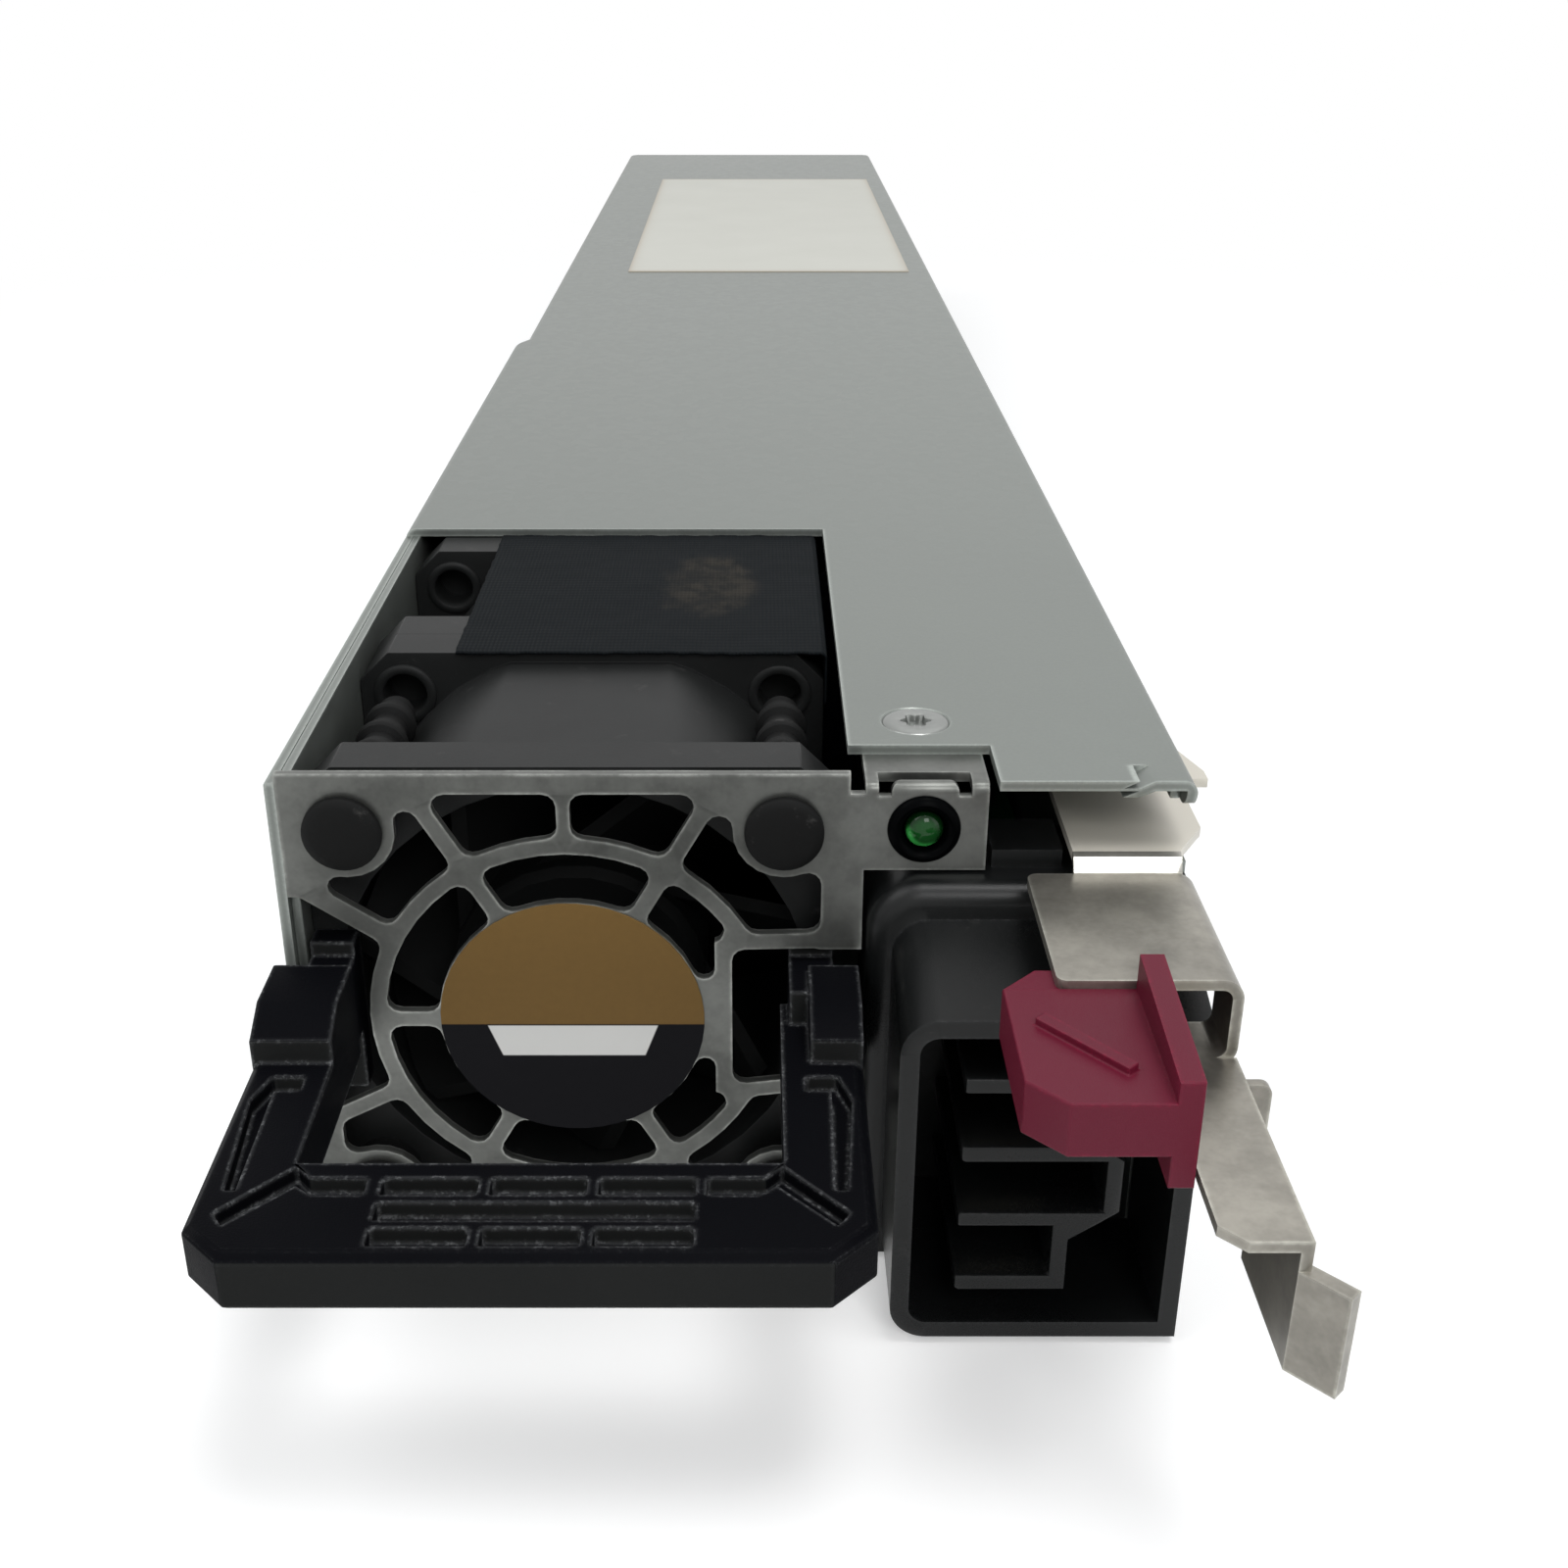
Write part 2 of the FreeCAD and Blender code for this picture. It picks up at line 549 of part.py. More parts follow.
def make_cover():
    """The top sheet with its skirts, the fan cut-out, the front lip and the screw's seat."""
    cover = body("Cover")
    plan = [
        ("-bulge_x", "0"), ("-tray_bulge", "0"), ("-tray_bulge", "cover_setback"),
        ("lip_start", "cover_setback"), ("lip_start", "-lip_front"), ("side_x", "-lip_front"),
        ("side_x", "case_length"), ("-side_x", "case_length"),
        ("-side_x", "bulge_length + bulge_ramp"), ("-bulge_x", "bulge_length"),
    ]
    layer(cover, "CoverBlock", "XY", "skirt_lift", "case_height", [plan])
    rear_y = number("case_length")
    rounded(cover, "CoverRearCorners", "rear_corner",
            lambda middle, way: along(way, "z") and near(middle.y, rear_y),
            kind="PartDesign::Chamfer")
    top = number("case_height")
    sides = [number("side_x"), -number("side_x"), -number("bulge_x")]
    rounded(cover, "CoverFolds", "fold_radius",
            lambda middle, way: near(middle.z, top) and along(way, "y")
            and any(near(middle.x, side) for side in sides))
    hollow = [
        ("-tray_bulge", "-2 * lip_front"), ("tray_x", "-2 * lip_front"),
        ("tray_x", "case_length + sheet"), ("-tray_x", "case_length + sheet"),
        ("-tray_x", "bulge_length + bulge_ramp"), ("-tray_bulge", "bulge_length"),
    ]
    layer(cover, "CoverHollow", "XY", "0", "cover_under", [hollow], pocket=True)
    slope = "dimple_width / 2 + 2 * dimple_depth"
    for name, shift, deeper in (("LipDimpleBelow", " - sheet", False), ("LipDimple", "", True)):
        trough = [("dimple_x - %s" % slope, "case_height" + shift),
                  ("dimple_x - dimple_width / 2", "case_height - dimple_depth" + shift),
                  ("dimple_x + dimple_width / 2", "case_height - dimple_depth" + shift),
                  ("dimple_x + %s" % slope, "case_height" + shift)]
        layer(cover, name, "XZ", "-lip_front", "dimple_end", [trough], pocket=deeper)
    cutout = rectangle(("-bulge_x - sheet", "cutout_right"), ("-sheet", "cutout_rear"))
    layer(cover, "CoverFanCutout", "XY", "cover_under", "case_height + sheet", [cutout],
          pocket=True)
    slot = rectangle(("-2 * lip_front", "slot_rear"), ("slot_low", "slot_high"))
    layer(cover, "CoverLatchSlot", "YZ", "tray_x - sheet", "side_x + sheet", [slot], pocket=True)
    lip = rectangle(("-2 * lip_front", "0"), ("0", "slot_low"))
    layer(cover, "CoverLipEnd", "YZ", "tray_x - sheet", "side_x + sheet", [lip], pocket=True)
    front, skirt = -number("lip_front"), number("slot_high")
    rounded(cover, "LipCorner", "dimple_end",
            lambda middle, way: along(way, "x") and near(middle.y, front)
            and near(middle.z, skirt))
    layer(cover, "CoverSideHoles", "YZ", "-side_x - sheet", "side_x + sheet",
          [regular(*SIDE_HOLE, 12)], pocket=True)
    seat = layer(cover, "CoverScrewSeat", "XY", "cover_under", "case_height", pocket=True,
                 circles=[("lamp_x", "screw_back", "screw_head / 2 + screw_clearance")])
    seat.TaperAngle = -SEAT_ANGLE
    sub_part("cover", cover)


def make_rear_panel():
    """The rear end: a plate between the tray's walls, with a honeycomb and the tongue's slot."""
    plate = box("RearPlate", ("-inner_x", "inner_x"), ("case_length - sheet", "case_length"),
                ("sheet", "cover_under"))
    slot = box("RearSlot", ("-tongue_width / 2 - tongue_gap", "tongue_width / 2 + tongue_gap"),
               ("case_length - 2 * sheet", "case_length + sheet"),
               ("board_height - tongue_gap", "board_top + tongue_gap"))
    first = "board_top + vent_pitch"
    across = number("inner_x - vent_diameter / 2 - sheet")
    up = number("cover_under - vent_diameter / 2 - sheet - (%s)" % first)
    pitch = number("vent_pitch")
    columns = int(across / pitch)
    rows = 1 + int(up / pitch / math.cos(math.radians(30)))
    vents = []
    for row in range(rows):
        for column in range(-columns, columns + 1 - row % 2):
            centre = ("(%d + %d / 2) * vent_pitch" % (column, row % 2),
                      "%s + %d * vent_pitch * cos(30 deg)" % (first, row))
            vents.append(prism("Vent", "y", 6, "vent_diameter", centre,
                               "case_length - 2 * sheet", "case_length + sheet"))
    sub_part("rear_panel", without("RearPanel", plate, [slot] + vents))


def make_rating_sticker():
    """A bare sticker on the rear of the cover."""
    sticker = box("Sticker", ("sticker_x - sticker_width / 2", "sticker_x + sticker_width / 2"),
                  ("sticker_back", "sticker_back + sticker_length"),
                  ("case_height", "case_height + label_thickness"))
    sub_part("rating_sticker", sticker)


def make_cover_screw():
    """The countersunk screw that holds the cover down on the lamp tab's fold."""
    centre = ("lamp_x", "screw_back")
    shank = prism("ScrewShank", "z", 8, "screw_shank * cos(22.5 deg)", centre,
                  "case_height - screw_length", "case_height")
    head = taper("ScrewHead", "z", "screw_head / 2 - sheet", "screw_head / 2", centre,
                 "cover_under", "case_height")
    sub_part("cover_screw", joined("CoverScrew", [shank, head]))


def make_side_screws():
    """One flat screw in each side, through the skirt into the tray."""
    for label, side in (("side_screw_left", -1), ("side_screw_right", 1)):
        low, high = ("inner_x - sheet", "side_x + screw_clearance")
        if side < 0:
            low, high = ("-side_x - screw_clearance", "sheet - inner_x")
        screw = prism("SideScrew", "x", 12, "screw_shank * cos(15 deg)", SIDE_HOLE[:2], low,
                      high)
        sub_part(label, screw)


# ---------------------------------------------------------------------------------------------
# The front plate with the fan grille
# ---------------------------------------------------------------------------------------------


def flat(corners):
    """A flat face in the front plate's plane from (x, z) corners."""
    points = [Vector(x, 0, z) for x, z in corners]
    return Part.Face(Part.makePolygon(points + points[:1]))


def disc(x, z, radius):
    """A flat round face in the front plate's plane."""
    ring = Part.Circle(Vector(x, 0, z), Vector(0, -1, 0), radius)
    return Part.Face(Part.Wire(ring.toShape()))


def chords(face):
    """A flat face with its curved edges drawn as short chords."""
    points = []
    for edge in face.OuterWire.OrderedEdges:
        run = edge.discretize(Deflection=number("chord_depth"))
        points += (run[::-1] if edge.Orientation == "Reversed" else run)[:-1]
    return Part.Face(Part.makePolygon(points + points[:1]))


def strip(start, end, width):
    """A straight web of the grille between two (x, z) points."""
    (x0, z0), (x1, z1) = start, end
    length = math.hypot(x1 - x0, z1 - z0)
    across = (-(z1 - z0) / length * width / 2, (x1 - x0) / length * width / 2)
    return flat([(x0 + across[0], z0 + across[1]), (x1 + across[0], z1 + across[1]),
                 (x1 - across[0], z1 - across[1]), (x0 - across[0], z0 - across[1])])


def grille_openings():
    """The grille's openings: the fan window and side notches less the webs, corners rounded."""
    x0, z0 = number("fan_x"), number("fan_height")
    web, narrow = number("web"), number("narrow_web")
    outer, inner = number("ring_radius"), number("ring_radius - web")
    left, right = number("window_left - tray_bulge"), number("plate_right - window_right")
    low, high = number("window_top"), number("case_height - window_top")
    edge_left, edge_right = number("-tray_bulge - 4"), number("plate_right + 2")
    notch = number("notch_bottom")
    notch_left, notch_right = number("left_notch_top"), number("right_notch_top")

    window = flat([(left, low), (right, low), (right, high), (left, high)])
    left_notch = flat([(edge_left, notch), (left + 1, notch), (left + 1, notch_left),
                       (edge_left, notch_left)])
    right_notch = flat([(right - 2, notch), (edge_right, notch), (edge_right, notch_right),
                        (right - 2, notch_right)])
    space = window.fuse([left_notch, right_notch]).removeSplitter()

    # The ring, with an upright bar in place of its side next to the inlet
    reach, half = number("flat_reach"), number("flat_half")
    beyond = flat([(x0 + reach, z0 - half), (x0 + outer + 1, z0 - half),
                   (x0 + outer + 1, z0 + half), (x0 + reach, z0 + half)])
    ring = disc(x0, z0, outer).cut(disc(x0, z0, inner)).cut(beyond)
    bar_x = x0 + reach - web / 2
    bar = strip((bar_x, z0 - half), (bar_x, z0 + half), web)
    webs = [ring, bar, disc(x0, z0, number("hub_radius"))]

    def at(angle, radius):
        turn = math.radians(angle)
        return (x0 + radius * math.cos(turn), z0 + radius * math.sin(turn))

    for angle in range(0, 360, 60):
        webs.append(strip(at(angle, 0), at(angle, inner + web / 2 if angle else reach - web / 2),
                          web))
    middle = inner + web / 2
    for angle in (60, 120, 240, 300):
        webs.append(strip(at(angle, middle), at(angle, 1.4 * outer), web))
    for angle in (90, 270):
        webs.append(strip(at(angle, middle), at(angle, 1.4 * outer), narrow))
    webs.append(strip(at(152, middle), (left - 1, notch_left + web * 0.6), web * 1.2))
    webs.append(strip(at(205, middle), (left - 1, notch - web * 0.6), web))
    webs.append(strip((bar_x, z0 + half), (right + 1, notch_right + web * 0.6), web))
    webs.append(strip((bar_x, z0 - half), (edge_right, notch + web * 2.6), web))
    pitch = number("fan_pitch / 2")
    for across in (-pitch, pitch):
        for up in (-pitch, pitch):
            webs.append(disc(x0 + across, z0 + up, number("ear_radius")))
            corner = (left - 1 if across < 0 else right + 1, low - 1 if up < 0 else high + 1)
            webs.append(strip((x0 + across, z0 + up), corner, 2 * web))

    solid = webs[0].fuse(webs[1:]).removeSplitter()
    rounding = number("opening_round")
    openings = []
    for opening in space.cut(solid).Faces:
        radius = min(rounding, 0.8 * opening.Area / opening.Length)
        for piece in opening.makeOffset2D(-radius).Faces:
            openings.append(chords(piece.makeOffset2D(radius)))
    return openings


def make_front_plate():
    """One bright sheet: the fan grille, the lamp tab and its fold under the cover."""
    thick = number("sheet")
    plate = Part.makeBox(number("plate_right + tray_bulge"), thick, number("case_height"),
                         Vector(-number("tray_bulge"), 0, 0))
    openings = [opening.extrude(Vector(0, thick, 0)) for opening in grille_openings()]
    plate = plate.cut(openings)
    plate = max(plate.Solids, key=lambda solid: solid.Volume)

    # The corner of the grille's top edge beside the slit
    slit_left, slit_right = number("cutout_right"), number("plate_right")
    slit_foot = number("slit_low")
    slit = Part.makeBox(slit_right - slit_left, thick, number("case_height") - slit_foot + 1,
                        Vector(slit_left, 0, slit_foot))
    plate = plate.cut(slit)

    # The lamp tab and its fold, one bend
    top, fold = number("cover_under"), number("tab_fold")
    low = number("tab_bottom")
    profile = Part.Face(Part.makePolygon([
        Vector(slit_right, 0, low), Vector(slit_right, 0, top), Vector(slit_right, fold, top),
        Vector(slit_right, fold, top - thick), Vector(slit_right, thick, top - thick),
        Vector(slit_right, thick, low), Vector(slit_right, 0, low)]))
    tab = profile.extrude(Vector(number("tab_width"), 0, 0))
    bend = edges_of(tab, lambda middle, way: near(middle.y, 0) and near(middle.z, top))
    tab = tab.makeFillet(thick, bend)
    bridge = Part.makeBox(slit_right - number("fan_right"), thick, slit_foot - low,
                          Vector(number("fan_right"), 0, low))
    plate = plate.fuse([tab, bridge])

    # A hook slot over the bend, with a tongue that stands in it
    middle = number("lamp_x")
    hook, tongue = number("hook_width / 2"), number("tongue_plate / 2")
    depth = number("hook_depth")
    slot = Part.makeBox(2 * hook, depth + 1, 2 * thick + number("hook_drop"),
                        Vector(middle - hook, -1, top - thick - number("hook_drop")))
    keep = Part.makeBox(2 * tongue, thick, 2 * thick,
                        Vector(middle - tongue, 0, top - 2 * thick))
    corners = edges_of(keep, lambda at, way: along(way, "y") and near(at.z, top))
    keep = keep.makeFillet(0.9 * thick, corners)
    floor = Part.makeBox(2 * tongue, 2 * thick, 2 * thick,
                         Vector(middle - tongue, -1, top - 3 * thick))
    plate = plate.cut(slot.cut([keep, floor]))

    # The lamp's hole, the screw's hole and the mounting pins' holes
    holes = [disc(middle, number("lamp_height"), number("lamp_barrel / 2 + screw_clearance"))]
    pitch = number("fan_pitch / 2")
    for across in (-pitch, pitch):
        for up in (-pitch, pitch):
            holes.append(disc(number("fan_x") + across, number("fan_height") + up,
                              number("pin_shank / 2 + screw_clearance")))
    tools = [chords(hole).extrude(Vector(0, thick, 0)) for hole in holes]
    tools.append(Part.makeCylinder(number("screw_shank / 2 + running_gap"), 4 * thick,
                                   Vector(middle, number("screw_back"), top - 3 * thick),
                                   AXES["z"]))
    sub_part("front_plate", drawn("FrontPlate", plate.cut(tools).removeSplitter()))


def edges_of(shape, test):
    """A shape's edges whose middle point and direction pass a test."""
    chosen = []
    for edge in shape.Edges:
        middle = edge.valueAt((edge.FirstParameter + edge.LastParameter) / 2)
        ends = edge.valueAt(edge.LastParameter) - edge.valueAt(edge.FirstParameter)
        if test(middle, ends):
            chosen.append(edge)
    return chosen


# ---------------------------------------------------------------------------------------------
# The fans: two 40 mm fans back to back, each drawn from its own open face inwards
# ---------------------------------------------------------------------------------------------

FAN_AXIS = ("fan_x", "fan_height")


def span(face, sign, near_face, far_face):
    """Two depths behind a fan's open face as a low and a high y."""
    ends = ["%s %s (%s)" % (face, "+" if sign > 0 else "-", depth) for depth in
            (near_face, far_face)]
    return tuple(ends if sign > 0 else ends[::-1])


def make_fan_frame(label, face, sign):
    """A fan frame: two square flanges, the duct between them, the motor's base and its tube."""
    across = ("fan_left", "fan_right")
    up = ("fan_bottom", "fan_top")
    flats = ("fan_x - duct_flat / 2", "fan_x + duct_flat / 2")
    flats_up = ("fan_height - duct_flat / 2", "fan_height + duct_flat / 2")
    low, high = span(face, sign, "0", "fan_depth")
    duct = shared("Duct", prism("DuctRound", "y", 36, "duct_diameter", FAN_AXIS, low, high),
                  box("DuctFlats", flats, (low, high), flats_up))
    flanges = []
    for depths in (("0", "fan_flange"), ("fan_depth - fan_flange", "fan_depth")):
        ends = span(face, sign, *depths)
        flange = box("Flange", across, ends, up)
        doc.recompute()
        corners = edges_where(flange, lambda middle, way: along(way, "y"))
        round_off = doc.addObject("Part::Chamfer", "FlangeCorners")
        round_off.Base = flange
        radius = number("flange_corner")
        round_off.Edges = [(int(name[4:]), radius, radius) for name in corners]
        flanges.append(round_off)
    bore = prism("Bore", "y", 36, "fan_bore", FAN_AXIS, low + " - 1", high + " + 1")
    tools = [bore]
    for x_sign in ("-", "+"):
        for z_sign in ("-", "+"):
            centre = ("fan_x %s fan_pitch / 2" % x_sign, "fan_height %s fan_pitch / 2" % z_sign)
            tools.append(prism("Hole", "y", 8, "fan_hole", centre, low + " - 1", high + " + 1"))
    shell = without("FrameShell", joined("FrameOutside", [duct] + flanges), tools)

    base = span(face, sign, "fan_depth - motor_base", "fan_depth")
    motor = [prism("MotorBase", "y", 24, "rotor_diameter", FAN_AXIS, *base)]
    for angle in (45, 135, 225, 315):
        bar = box("Strut", ("-strut / 2", "strut / 2"), base, ("0", "(fan_bore + 0.6) / 2"))
        turned = doc.addObject("Part::Feature", "StrutTurned")
        doc.recompute()
        shape = bar.Shape.copy()
        shape.rotate(Vector(0, 0, 0), AXES["y"], angle)
        shape.translate(Vector(number("fan_x"), 0, number("fan_height")))
        turned.Shape = shape
        doc.removeObject(bar.Name)
        motor.append(turned)
    motor.append(prism("MotorTube", "y", 12, "shaft_diameter + 2 * (sleeve_wall + tube_wall)",
                       FAN_AXIS, *span(face, sign, "cup_inset + 3 * cup_wall", "fan_depth")))
    seat = prism("SleeveSeat", "y", 12, "shaft_diameter + 2 * sleeve_wall", FAN_AXIS,
                 *span(face, sign, "0", "fan_depth - cup_wall"))
    frame = without("FanFrame", joined("FrameAndMotor", [shell] + motor), [seat])
    sub_part(label, frame)


def make_fan_motor(name, face, sign):
    """The pieces round a fan's axis: bearing sleeve and stator, and shaft and magnet ring."""
    sleeve_ends = span(face, sign, "cup_inset + 3 * cup_wall", "fan_depth - cup_wall")
    sleeve = without("Sleeve", prism("SleeveOutside", "y", 12,
                                     "shaft_diameter + 2 * sleeve_wall", FAN_AXIS, *sleeve_ends),
                     [rod("SleeveBore", "y", "shaft_diameter / 2 + running_gap", FAN_AXIS,
                          *span(face, sign, "0", "fan_depth + 1"))])
    sub_part(name + "_bearing", sleeve)

    low, high = span(face, sign, "0", "fan_depth")
    ends = span(face, sign, "cup_inset + 6 * cup_wall", "fan_depth - motor_base - 3 * rotor_gap")
    bore = prism("StatorBore", "y", 12, "shaft_diameter + 2 * (sleeve_wall + tube_wall)",
                 FAN_AXIS, low, high)
    stator = prism("StatorOutside", "y", 12,
                   "(rotor_diameter - 2 * (cup_wall + magnet_wall + air_gap)) * cos(15 deg)",
                   FAN_AXIS, *ends)
    sub_part(name + "_stator", without("Stator", stator, [bore]))

    shaft = rod("Shaft", "y", "shaft_diameter / 2", FAN_AXIS,
                *span(face, sign, "cup_inset + cup_wall", "fan_depth - cup_wall - rotor_gap"))
    sub_part(name + "_shaft", shaft)

    magnet_ends = span(face, sign, "cup_inset + 5 * cup_wall",
                       "fan_depth - motor_base - 2 * rotor_gap")
    magnet = without("Magnet", prism("MagnetOutside", "y", 24, "(rotor_diameter - 2 * cup_wall) "
                                     "* cos(7.5 deg)", FAN_AXIS, *magnet_ends),
                     [prism("MagnetInside", "y", 24, "rotor_diameter - 2 * (cup_wall + "
                            "magnet_wall)", FAN_AXIS, low, high)])
    sub_part(name + "_magnet", magnet)





BLADE_PITCH = 42
CUP_SIDES = 24


def turned(radius, low, high):
    """A block round the fan axis with its corners on a radius."""
    turns = [math.radians(360 * (side + 0.5) / CUP_SIDES) for side in range(CUP_SIDES)]
    points = [Vector(radius * math.cos(turn), low, radius * math.sin(turn)) for turn in turns]
    return Part.Face(Part.makePolygon(points + points[:1])).extrude(Vector(0, high - low, 0))


def make_rotor(label, face, sign, blades):
    """A rotor: a cup over the motor with leaning blades that clear the duct."""
    cup_radius = number("rotor_diameter / 2")
    low, high = [number(end) for end in
                 span(face, sign, "cup_inset", "fan_depth - motor_base - rotor_gap")]
    inner_low, inner_high = [number(end) for end in
                             span(face, sign, "cup_inset + cup_wall", "fan_depth")]
    cup = turned(cup_radius, low, high)
    front = low if sign > 0 else high
    rim = edges_of(cup, lambda middle, way: near(middle.y, front))
    cup = cup.makeChamfer(0.7 * number("cup_wall"), rim)
    cup = cup.cut(turned(cup_radius - number("cup_wall"), inner_low, inner_high))

    # One blade: a tilted slab between the cup and the tip's sweep
    tip = number("fan_bore / 2 - rotor_gap")
    thick = number("blade_thickness")
    blade_low, length = low + 2 * thick, high - low - 3 * thick
    sweep = turned(tip, blade_low, blade_low + length)
    core = turned(cup_radius - thick / 2, blade_low, blade_low + length)
    slab = Part.makeBox(thick, 2 * length, tip, Vector(-thick / 2, -length, thick))
    slab.rotate(Vector(0, 0, 0), AXES["z"], -sign * BLADE_PITCH)
    slab.translate(Vector(0, blade_low + length / 2, 0))
    blade = slab.common(sweep).cut(core)
    pieces = []
    for index in range(blades):
        copy = blade.copy()
        copy.rotate(Vector(0, 0, 0), AXES["y"], 360 * index / blades)
        pieces.append(copy)
    rotor = cup.fuse(pieces).removeSplitter()
    rotor.translate(Vector(number("fan_x"), 0, number("fan_height")))
    sub_part(label, drawn("Rotor", rotor))


def make_fans():
    make_fan_frame("fan_frame_front", "fan_front", 1)
    make_fan_frame("fan_frame_rear", "fan_rear", -1)
    make_fan_motor("front", "fan_front", 1)
    make_fan_motor("rear", "fan_rear", -1)
    make_rotor("front_rotor", "fan_front", 1, int(number("front_blades")))
    make_rotor("rear_rotor", "fan_rear", -1, int(number("rear_blades")))


def make_mounting_pins():
    """Four rubber pins that hold the front fan off the front plate."""
    corners = {"top_left": ("-", "+"), "top_right": ("+", "+"),
               "bottom_left": ("-", "-"), "bottom_right": ("+", "-")}
    for name, (x_sign, z_sign) in corners.items():
        centre = ("fan_x %s fan_pitch / 2" % x_sign, "fan_height %s fan_pitch / 2" % z_sign)
        collar = ("fan_front + fan_flange", "fan_front + fan_flange + pin_collar / 2")
        pieces = [
            rod("PinHead", "y", "pin_head / 2", centre, "-pin_proud", "0"),
            prism("PinShank", "y", 8, "pin_shank * cos(22.5 deg)", centre, "-pin_proud",
                  collar[1]),
            prism("PinSpacer", "y", 8, "pin_head", centre, "sheet", "fan_front"),
            prism("PinCollar", "y", 8, "pin_collar", centre, *collar),
        ]
        sub_part("mounting_pin_" + name, joined("MountingPin", pieces))


def make_fan_tape():
    """Cloth tape over the rear fan, folded down beside the fan frame on the right."""
    ends = ("fan_middle - fan_flange - sheet", "fan_rear")
    top = box("TapeTop", ("fan_left + tape_left", "fan_right + tape_thickness"), ends,
              ("fan_top", "fan_top + tape_thickness"))
    flap = box("TapeFlap", ("fan_right", "fan_right + tape_thickness"), ends,
               ("fan_top - tape_flap", "fan_top + tape_thickness"))
    sub_part("fan_tape", joined("FanTape", [top, flap]))


def make_fan_label():
    """A round label on the grille's hub disc."""
    label = prism("Label", "y", 48, "2 * (hub_radius - label_inset)", FAN_AXIS,
                  "-label_thickness", "0")
    sub_part("fan_label", label)


def make_lamp():
    """The status lamp: a black bezel pushed through the plate and a domed lens in it."""
    centre = ("lamp_x", "lamp_height")
    flange = prism("BezelFlange", "y", 24, "bezel_diameter", centre, "-bezel_proud", "0")
    barrel = prism("BezelBarrel", "y", 8, "lamp_barrel * cos(22.5 deg)", centre, "-bezel_proud",
                   "lamp_depth")
    bore = prism("BezelBore", "y", 16, "lens_diameter", centre, "-2 * bezel_proud",
                 "lamp_depth + 1")
    sub_part("lamp_bezel", without("Bezel", joined("BezelOutside", [flange, barrel]), [bore]))

    dome = prism("LensDome", "y", 16, "lens_diameter * 0.7", centre, "-1.3 * bezel_proud",
                 "-bezel_proud")
    body_end = prism("LensBarrel", "y", 16, "lens_diameter", centre, "-bezel_proud",
                     "lamp_depth")
    sub_part("lamp_lens", joined("Lens", [dome, body_end]))


# ---------------------------------------------------------------------------------------------
# The handle
# ---------------------------------------------------------------------------------------------


